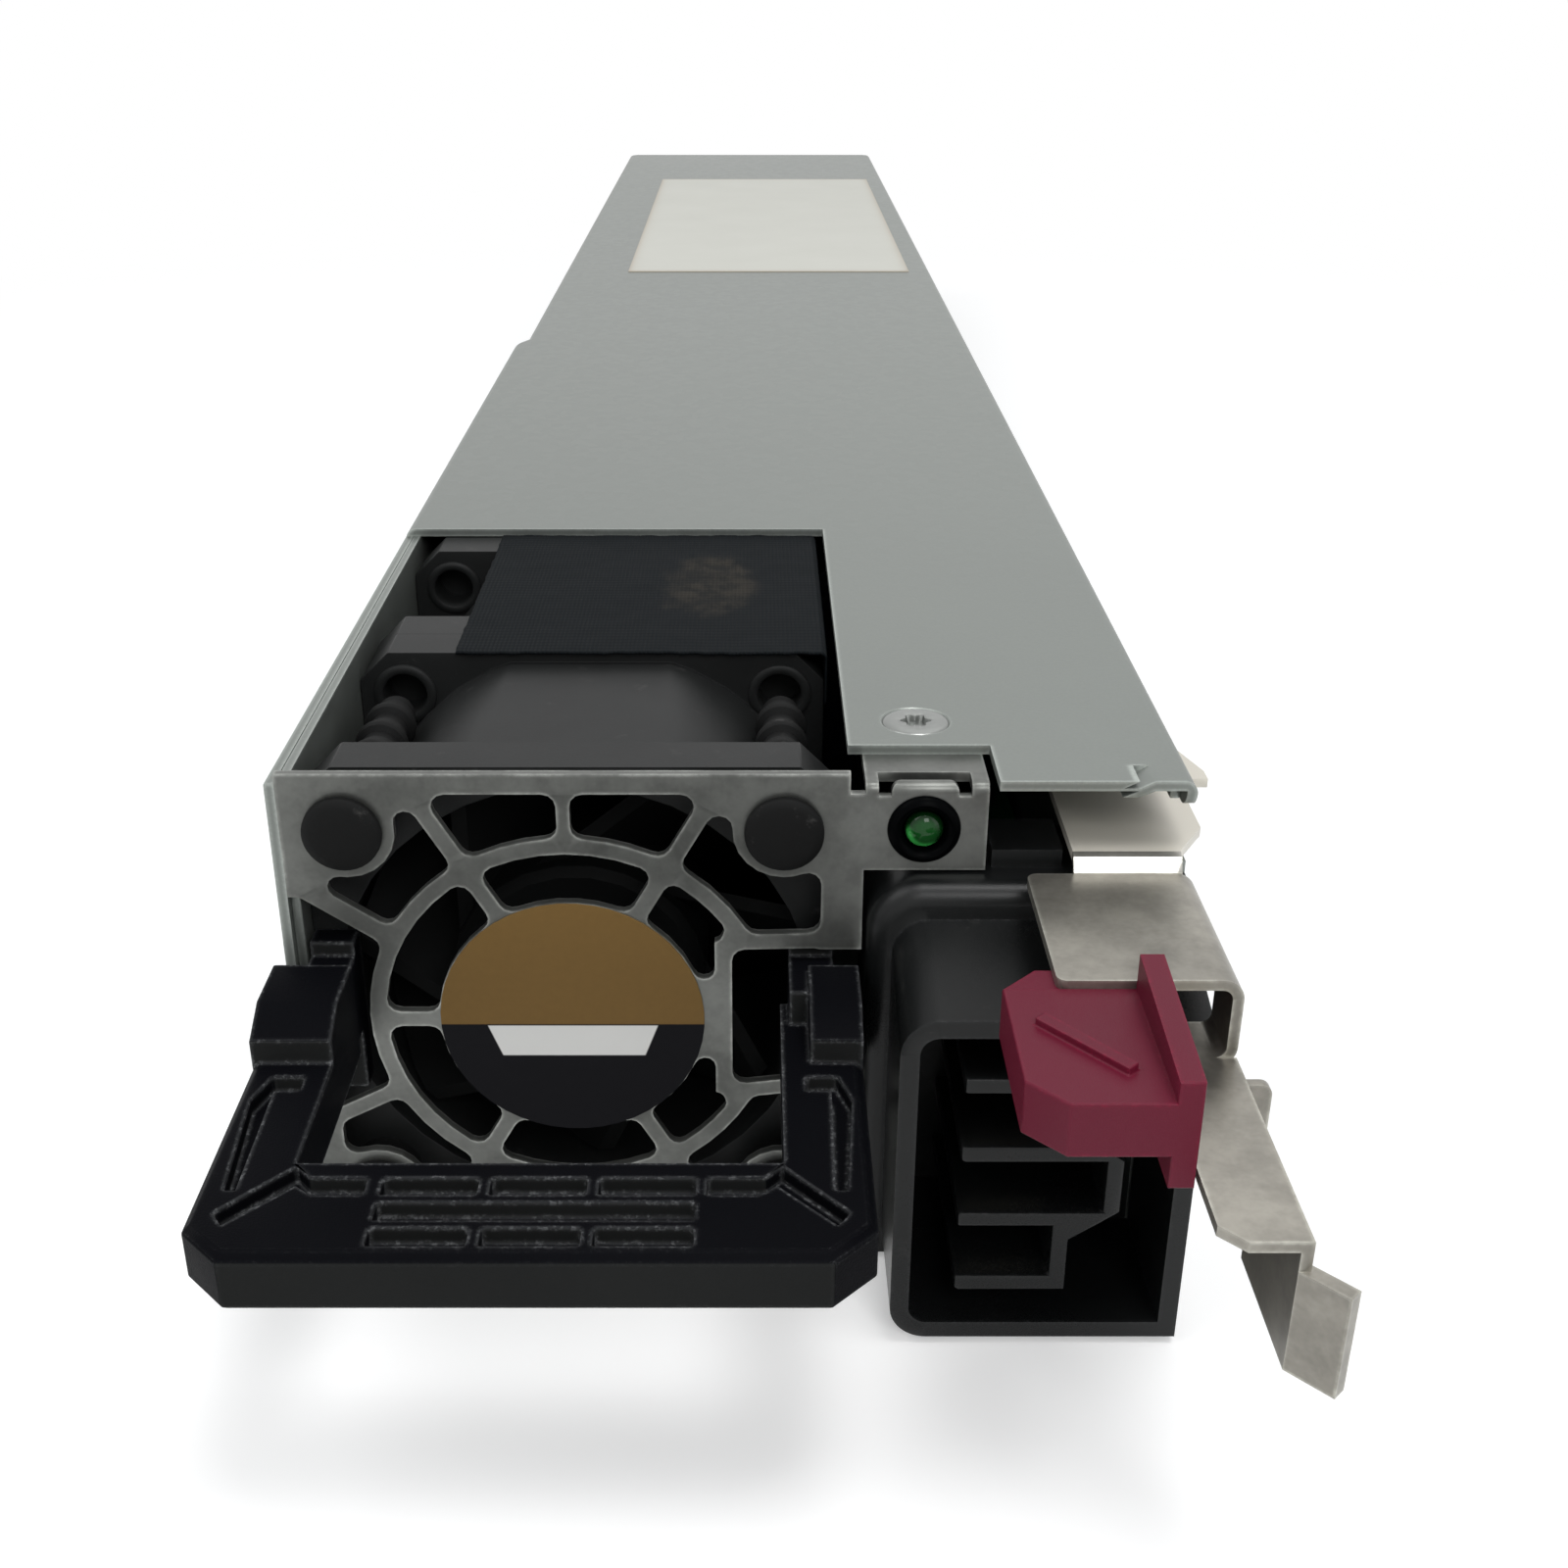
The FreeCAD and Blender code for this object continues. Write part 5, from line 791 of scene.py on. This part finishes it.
class SUPPLY_OT_front(bpy.types.Operator):
    """Finish the front plate, its label and the status lamp"""

    bl_idname = "supply.front"
    bl_label = "Front plate, label and lamp"

    def execute(self, context):
        front = rolled_steel("zinc sheet", chosen("front"), 0.38, direction=(0.6, 1, 0.12))
        dress(["front_plate"], front)
        soften(["front_plate"], sizes().sheet_edge)
        upper, lower, tab = (chosen("label_" + part) for part in ("upper", "lower", "tab"))
        dress(["fan_label"], two_tone_label("two-tone label", upper, lower, tab))
        self.bezel()
        self.lens()
        return {"FINISHED"}

    def bezel(self):
        """A round black bezel with a rolled face."""
        black = moulded_plastic(
            "bezel", (0.0012, 0.0014, 0.0016), 0.30, 0.4 * MM, 0.01 * MM, specular=0.015
        )
        middle, half = middle_and_half("lamp_bezel")
        face, outer = half.y / MM, half.x / MM
        inner, barrel = 1.56, outer - 0.30
        profile = (
            (inner, -face), (inner, face - 0.95), (inner + 0.05, face - 0.55),
            (inner + 0.20, face - 0.22), (inner + 0.42, face - 0.05), (inner + 0.60, face),
            (outer - 0.40, face - 0.07), (outer - 0.16, face - 0.22), (outer - 0.03, face - 0.42),
            (outer, face - 0.58), (barrel, face - 0.62), (barrel, -face),
        )
        bezel = turned("lamp_ring", profile, middle, (0, -1, 0), "case", black, 64)
        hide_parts("lamp_bezel")

    def lens(self):
        """A lens with a domed end."""
        middle, half = middle_and_half("lamp_lens")
        tip, radius = half.y / MM, half.x / MM
        bulge, steps = 1.0, 10
        profile = []
        for step in range(steps + 1):
            angle = math.pi / 2 * step / steps
            profile.append((radius * math.sin(angle), tip - bulge * (1 - math.cos(angle))))
        profile += [(radius, -tip), (0.0, -tip)]
        glass = lamp_lens("lens", chosen("lens"))
        lens = turned("lamp_dome", profile, middle, (0, -1, 0), "case", glass, 64)
        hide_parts("lamp_lens")


class SUPPLY_OT_fans(bpy.types.Operator):
    """Finish the fans, their tape and their rubber mounting pins"""

    bl_idname = "supply.fans"
    bl_label = "Fans"

    # The frames, and how thick their flanges are in millimetres.
    frames = ("fan_frame_front", "fan_frame_rear")
    flange = 4.6

    def execute(self, context):
        fans = chosen("fans")
        frame_plastic = moulded_plastic(
            "fan plastic", fans, 0.46, 0.12 * MM, 0.02 * MM, dust=0.25, specular=0.18
        )
        dress(self.frames, frame_plastic)
        soften(self.frames, 0.2 * MM)
        rotor_plastic = moulded_plastic(
            "rotor plastic", shade(fans, 0.5), 0.5, 0.3 * MM, 0.01 * MM, specular=0.05
        )
        dress(["front_rotor", "rear_rotor"], rotor_plastic)
        soften(["front_rotor", "rear_rotor"])
        rubber = moulded_plastic(
            "rubber", chosen("rubber"), 0.62, 0.15 * MM, 0.03 * MM, dust=0.35, specular=0.12
        )
        for name in named("mounting_pin"):
            self.pin(name, rubber)
            self.rims(name, frame_plastic)
        self.tape()
        steel = plain_metal("ground steel", (0.55, 0.55, 0.55), 0.25, 3000)
        dress(["front_shaft", "rear_shaft"], steel)
        bronze = plain_metal("sintered bronze", (0.45, 0.28, 0.13), 0.5, 4000)
        dress(["front_bearing", "rear_bearing"], bronze)
        core = plain_metal("lamination", (0.10, 0.10, 0.11), 0.6, 2000)
        dress(["front_stator", "rear_stator", "front_magnet", "rear_magnet"], core)
        return {"FINISHED"}

    def rims(self, name, plastic):
        """Round bosses about the mounting holes in each fan's rear flange."""
        low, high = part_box(name)
        bore, rim = 1.86, 2.75
        floor, skin = 3.0, 0.2
        profile = (
            (0.0, floor), (bore, floor), (bore, 0.0), (bore + 0.10, -0.22), (bore + 0.28, -0.30),
            (rim - 0.25, -0.28), (rim - 0.08, -0.18), (rim, 0.05), (rim, 0.3),
            (bore + skin, 0.4), (bore + skin, floor + skin), (0.0, floor + skin),
        )
        for part in self.frames:
            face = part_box(part)[1].y - self.flange * MM
            centre = Vector(((low.x + high.x) / 2, face, (low.z + high.z) / 2))
            title = name.replace("mounting_pin", part + "_boss")
            boss = turned(title, profile, centre, (0, 1, 0), "case", plastic, 40)

    def pin(self, name, rubber):
        """A rubber pin: a domed head, a spacer behind the plate, then ribs along its shank."""
        low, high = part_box(name)
        head = (high.x - low.x) / 2 / MM
        rib, neck = sizes().pin_rib / MM, sizes().pin_neck / MM
        plate = (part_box("front_plate")[0].y - low.y) / MM
        frame_front, frame_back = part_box("fan_frame_front")
        hole, short_of_back = (frame_front.y - low.y) / MM, 5.0
        ribs, tail = hole + self.flange, (frame_back.y - low.y) / MM - short_of_back
        centre = Vector(((low.x + high.x) / 2, low.y, (low.z + high.z) / 2))
        spacer = 0.95 * head
        profile = [
            (0.0, 0.06), (0.45 * head, 0.09), (0.75 * head, 0.15), (0.92 * head, 0.27),
            (0.99 * head, 0.48), (head, plate - 0.25), (0.96 * head, plate - 0.02),
            (neck, plate - 0.02), (neck, plate + 0.85), (spacer, plate + 0.87),
            (spacer, hole - 0.02), (neck, hole), (neck, ribs),
        ]
        pitch = 3.7
        count = int((tail - ribs) / pitch)
        for index in range(count):
            start = ribs + index * pitch
            profile += [
                (rib - 0.12, start + 0.05), (rib, start + 0.35), (rib - 0.06, start + 0.95),
                (0.8 * neck + 0.2 * rib, start + 2.3), (neck, start + 2.7),
                (neck, start + pitch - 0.2),
            ]
        end = ribs + count * pitch
        profile += [(0.9 * neck, end + 0.2), (0.6 * neck, end + 0.45), (0.0, end + 0.55)]
        pin = turned(name + "_ribbed", profile, centre, (0, 1, 0), "case", rubber, 40)
        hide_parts(name)

    def tape(self):
        """Cloth tape laid over the fans and down their right side, with frayed, wavy edges."""
        low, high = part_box("fan_tape")
        thick, columns, rows = 0.20 * MM, 120, 90
        wide = high.x - low.x + (high.z - low.z) - 0.8 * MM
        deep = high.y - low.y - 0.3 * MM
        left, near, top = low.x + 0.1 * MM, low.y + 0.25 * MM, high.z - thick - 0.03 * MM
        corner, bend_out, bend_run = high.x - 0.55 * MM, 0.38 * MM, 0.6 * MM
        fray, fray_fade, side_fray = 0.22 * MM, 14, 0.15 * MM
        ripple, crinkle = 0.09 * MM, 0.035 * MM
        form = bmesh.new()
        grid = []
        for row in range(rows + 1):
            line = []
            for column in range(columns + 1):
                along, depth = column / columns * wide, row / rows
                ragged = fray * noise.noise(Vector((along * 900, row * 0.02, 3.0)))
                y = near + depth * deep + ragged * max(0.0, 1 - fray_fade * min(depth, 1 - depth))
                wave = ripple * noise.noise(Vector((along * 150, y * 110, 7.0)))
                wave += crinkle * noise.noise(Vector((along * 520, y * 420, 1.0)))
                x, z = left + along, top + wave
                if x > corner:
                    run = x - corner
                    bend = min(run / bend_run, math.pi / 2)
                    x = corner + bend_out * math.sin(bend)
                    z -= bend_out * (1 - math.cos(bend))
                    z -= max(0.0, run - bend_run * math.pi / 2)
                if column == 0:
                    x += side_fray * noise.noise(Vector((y * 700, 0.0, 5.0)))
                line.append(form.verts.new((x, y, z)))
            grid.append(line)
        for line, after in zip(grid, grid[1:]):
            for column in range(columns):
                form.faces.new([line[column], line[column + 1], after[column + 1], after[column]])
        cloth = woven_tape("cloth tape", chosen("tape"))
        strip = placed("tape_strip", form, "case", cloth, sharp=math.radians(60))
        solid = strip.modifiers.new("Thickness", "SOLIDIFY")
        solid.thickness = thick
        solid.offset = 1.0
        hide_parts("fan_tape")


class SUPPLY_OT_handle(bpy.types.Operator):
    """Finish the handle"""

    bl_idname = "supply.handle"
    bl_label = "Handle"

    def execute(self, context):
        # glint paints a highlight along the handle's edges, and face paints its forward faces
        # lighter, as lit.
        handle = moulded_plastic(
            "handle plastic", chosen("handle"), 0.38, 0.16 * MM, 0.05 * MM, waves=0.8, glint=0.55,
            specular=0.015, face=(0.0175, 0.0182, 0.0180),
        )
        dress(["handle"], handle)
        soften(["handle"], sizes().moulded_edge)
        return {"FINISHED"}


class SUPPLY_OT_inlet(bpy.types.Operator):
    """Finish the mains inlet"""

    bl_idname = "supply.inlet"
    bl_label = "Mains inlet"

    def execute(self, context):
        # glint paints a faint highlight along the inlet's edges, and face paints its forward faces
        # lighter, as lit.
        inlet = moulded_plastic(
            "inlet plastic", chosen("inlet"), 0.28, 0.09 * MM, 0.02 * MM, dust=0.12, glint=0.06,
            specular=0.24, face=(0.0090, 0.0098, 0.0098),
        )
        dress(["inlet_shroud", "inlet_insert"], inlet)
        soften(["inlet_shroud", "inlet_insert"], sizes().moulded_edge)
        contact = plain_metal("plated contact", (0.50, 0.47, 0.38), 0.25, 2500)
        dress(named("inlet_contact"), contact)
        return {"FINISHED"}


class SUPPLY_OT_latch(bpy.types.Operator):
    """Finish the latch"""

    bl_idname = "supply.latch"
    bl_label = "Latch"

    def execute(self, context):
        steel = latch_plate("nickel plated sheet", chosen("latch"), 0.36, direction=(1, 0.3, 1))
        dress(["latch_lever", "latch_bracket"], steel)
        soften(["latch_lever"], sizes().sheet_edge)
        spring = plain_metal("spring steel", (0.42, 0.42, 0.42), 0.3, 3000)
        dress(["latch_pin"], spring)
        self.coil(spring)
        # glint and rubbed paint a bright crimson highlight along the cap's edges.
        cap = moulded_plastic(
            "crimson plastic", chosen("cap"), 0.42, 0.10 * MM, 0.03 * MM, waves=0.3, glint=0.55,
            specular=0.20, rubbed=(0.30, 0.010, 0.045),
        )
        dress(["latch_cap"], cap)
        soften(["latch_cap"], sizes().moulded_edge * 1.5, segments=3)
        return {"FINISHED"}

    def coil(self, spring):
        """A torsion spring round the latch's pin, with a leg at each end."""
        middle, half = middle_and_half("latch_spring")
        wire = sizes().wire
        radius, bottom, top = half.x - wire, middle.z - half.z + wire, middle.z + half.z - wire
        turns, steps = 5, 20
        lower_leg, upper_leg = 2.6 * MM, 2.8 * MM
        points = [(middle.x + radius, middle.y + lower_leg, bottom)]
        for step in range(turns * steps + 1):
            angle = 2 * math.pi * step / steps
            points.append((
                middle.x + radius * math.cos(angle),
                middle.y - radius * math.sin(angle),
                bottom + (top - bottom) * step / (turns * steps),
            ))
        points.append((middle.x + radius, middle.y - upper_leg, top))
        coil = wound_wire("latch_coil", points, wire, "case", spring)
        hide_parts("latch_spring")


class SUPPLY_OT_inside(bpy.types.Operator):
    """Finish the board and the power parts inside the case"""

    bl_idname = "supply.inside"
    bl_label = "Inside"

    def execute(self, context):
        dress(["main_board"], circuit_board("solder mask", chosen("board")))
        sheet = moulded_plastic("insulator", (0.70, 0.69, 0.64), 0.45, 0.5 * MM, 0.01 * MM)
        dress(["insulator_sheet"], sheet)
        brass = plain_metal("brass", (0.55, 0.42, 0.18), 0.32, 2500)
        dress(named("board_spacer"), brass)
        dress(["output_pads"], plain_metal("gold flash", (0.72, 0.50, 0.17), 0.22, 1800))
        dress(["line_choke"], copper_turns("choke wire", (0.55, 0.24, 0.10), 1.1 * MM))
        dress(["transformer_winding"], copper_turns("winding tape", (0.55, 0.42, 0.08), 6 * MM))
        sleeve = moulded_plastic("capacitor sleeve", (0.012, 0.012, 0.03), 0.25, 1 * MM, 0.01 * MM)
        dress(named("bulk_capacitor"), sleeve)
        ferrite = moulded_plastic("ferrite", (0.030, 0.030, 0.032), 0.65, 0.3 * MM, 0.03 * MM)
        dress(["transformer_core"], ferrite)
        soften(named("bulk_capacitor") + ["line_choke"])
        fins = plain_metal("extruded aluminium", (0.62, 0.63, 0.64), 0.4, 900)
        dress(["heat_sink_left", "heat_sink_right"], fins)
        return {"FINISHED"}


# ---------------------------------------------------------------------------------------------
# Stage
# ---------------------------------------------------------------------------------------------


def pale_ground(name):
    """A pale matt floor that fades to plain white away from what stands on it."""
    finish = Finish(name)
    near, far = 0.21, 0.34
    matt = finish.node("ShaderNodeBsdfDiffuse", {}, {"Color": (0.86, 0.86, 0.86, 1)}).outputs[0]
    faint = finish.node("ShaderNodeEmission", {}, {"Strength": 0.30}).outputs[0]
    white = finish.node("ShaderNodeEmission", {}, {"Strength": 1.0}).outputs[0]
    lit = finish.node("ShaderNodeAddShader", {}, {0: matt, 1: faint}).outputs[0]
    across, back = finish.axis("X"), finish.axis("Y")
    away = ((across * across + back * back) ** 0.5).between(near, far)
    shown = finish.mixed(away, lit, white)
    return finish.done(finish.mixed(finish.seen(), matt, shown))


def studio_air(name):
    """An even pale studio, plain white where it is seen or mirrored."""
    finish = Finish(name, world=True)
    dim = finish.node(
        "ShaderNodeBackground", {}, {"Color": (0.96, 0.98, 1.0, 1), "Strength": 0.40}
    ).outputs[0]
    white = finish.node(
        "ShaderNodeBackground", {}, {"Color": (1, 1, 1, 1), "Strength": 1.0}
    ).outputs[0]
    return finish.done(finish.mixed(finish.seen(), dim, white))


# Each lamp: its name, its place and the side of its square in metres, and its watts.
LAMPS = (
    ("key", (0.22, -1.00, 0.72), 0.40, 3.2),
    ("top", (0.16, -0.34, 1.05), 0.34, 3.4),
    ("side", (-0.60, -0.40, 0.85), 0.60, 2.6),
    ("back", (0.30, 0.70, 1.10), 0.90, 1.2),
    ("fill", (0.95, -0.55, 0.45), 0.70, 1.0),
)

# What the lamps point at, in the supply's front half, and half the floor's width.
LAMPS_AIM = Vector((0, -0.1, 0.02))
FLOOR_HALF = 3.0


class SUPPLY_OT_stage(bpy.types.Operator):
    """Lay the floor, hang the lamps and set the camera"""

    bl_idname = "supply.stage"
    bl_label = "Stage"

    def execute(self, context):
        scene = context.scene
        mesh = bpy.data.meshes.new("floor")
        form = bmesh.new()
        bmesh.ops.create_grid(form, x_segments=4, y_segments=4, size=FLOOR_HALF)
        form.to_mesh(mesh)
        form.free()
        mesh.materials.append(pale_ground("pale floor"))
        floor = linked("floor", mesh)
        floor.location.z = CASE_LOW.z - 0.05 * MM
        for lamp in LAMPS:
            self.lamp(*lamp)
        scene.world = studio_air("studio")
        scene.view_settings.view_transform = "Standard"
        scene.camera = self.camera(sizes())
        return {"FINISHED"}

    def lamp(self, name, place, side, watts):
        """A soft square lamp."""
        data = bpy.data.lights.new(name, "AREA")
        data.shape = "SQUARE"
        data.size = side
        data.energy = watts
        lamp = linked(name, data)
        lamp.location = place
        aim = LAMPS_AIM - Vector(place)
        lamp.rotation_euler = aim.to_track_quat("-Z", "Y").to_euler()

    def camera(self, view):
        """A camera in front of the grille, above it and looking down along the case."""
        data = bpy.data.cameras.new("camera")
        data.sensor_width = 36.0
        data.lens = view.lens_focal
        data.shift_x = view.lens_shift
        data.clip_start = 0.005
        data.clip_end = 20.0
        camera = linked("camera", data)
        front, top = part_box("front_plate")[0].y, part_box("cover")[1].z
        camera.location = (view.lens_side, front - view.lens_distance, top + view.lens_height)
        camera.rotation_euler = (math.pi / 2 - view.lens_tilt, 0, 0)
        return camera


# ---------------------------------------------------------------------------------------------
# The panel, and making the whole
# ---------------------------------------------------------------------------------------------

STEPS = (
    SUPPLY_OT_stage,
    SUPPLY_OT_case,
    SUPPLY_OT_front,
    SUPPLY_OT_fans,
    SUPPLY_OT_handle,
    SUPPLY_OT_inlet,
    SUPPLY_OT_latch,
    SUPPLY_OT_inside,
)


class SUPPLY_PT_panel(bpy.types.Panel):
    """Lists the supply's operators, colours and sizes"""

    bl_idname = "SUPPLY_PT_panel"
    bl_label = "Power supply"
    bl_space_type = "VIEW_3D"
    bl_region_type = "UI"
    bl_category = "Power supply"

    def draw(self, context):
        for step in STEPS:
            self.layout.operator(step.bl_idname)
        for group in (context.scene.supply_colours, context.scene.supply_sizes):
            column = self.layout.column()
            for name in group.bl_rna.properties.keys():
                if name not in {"rna_type", "name"}:
                    column.prop(group, name)


CLASSES = (SupplyColours, SupplySizes, *STEPS, SUPPLY_PT_panel)


def register():
    """Add the classes, and the scene's colours and sizes."""
    for item in CLASSES:
        bpy.utils.register_class(item)
    bpy.types.Scene.supply_colours = PointerProperty(type=SupplyColours)
    bpy.types.Scene.supply_sizes = PointerProperty(type=SupplySizes)


def unregister():
    """Remove the classes, and the scene's colours and sizes."""
    del bpy.types.Scene.supply_sizes
    del bpy.types.Scene.supply_colours
    for item in reversed(CLASSES):
        bpy.utils.unregister_class(item)


def main():
    """Make the pieces and the stage."""
    register()
    for step in STEPS:
        group, name = step.bl_idname.split(".")
        getattr(getattr(bpy.ops, group), name)()


if __name__ == "__main__":
    main()
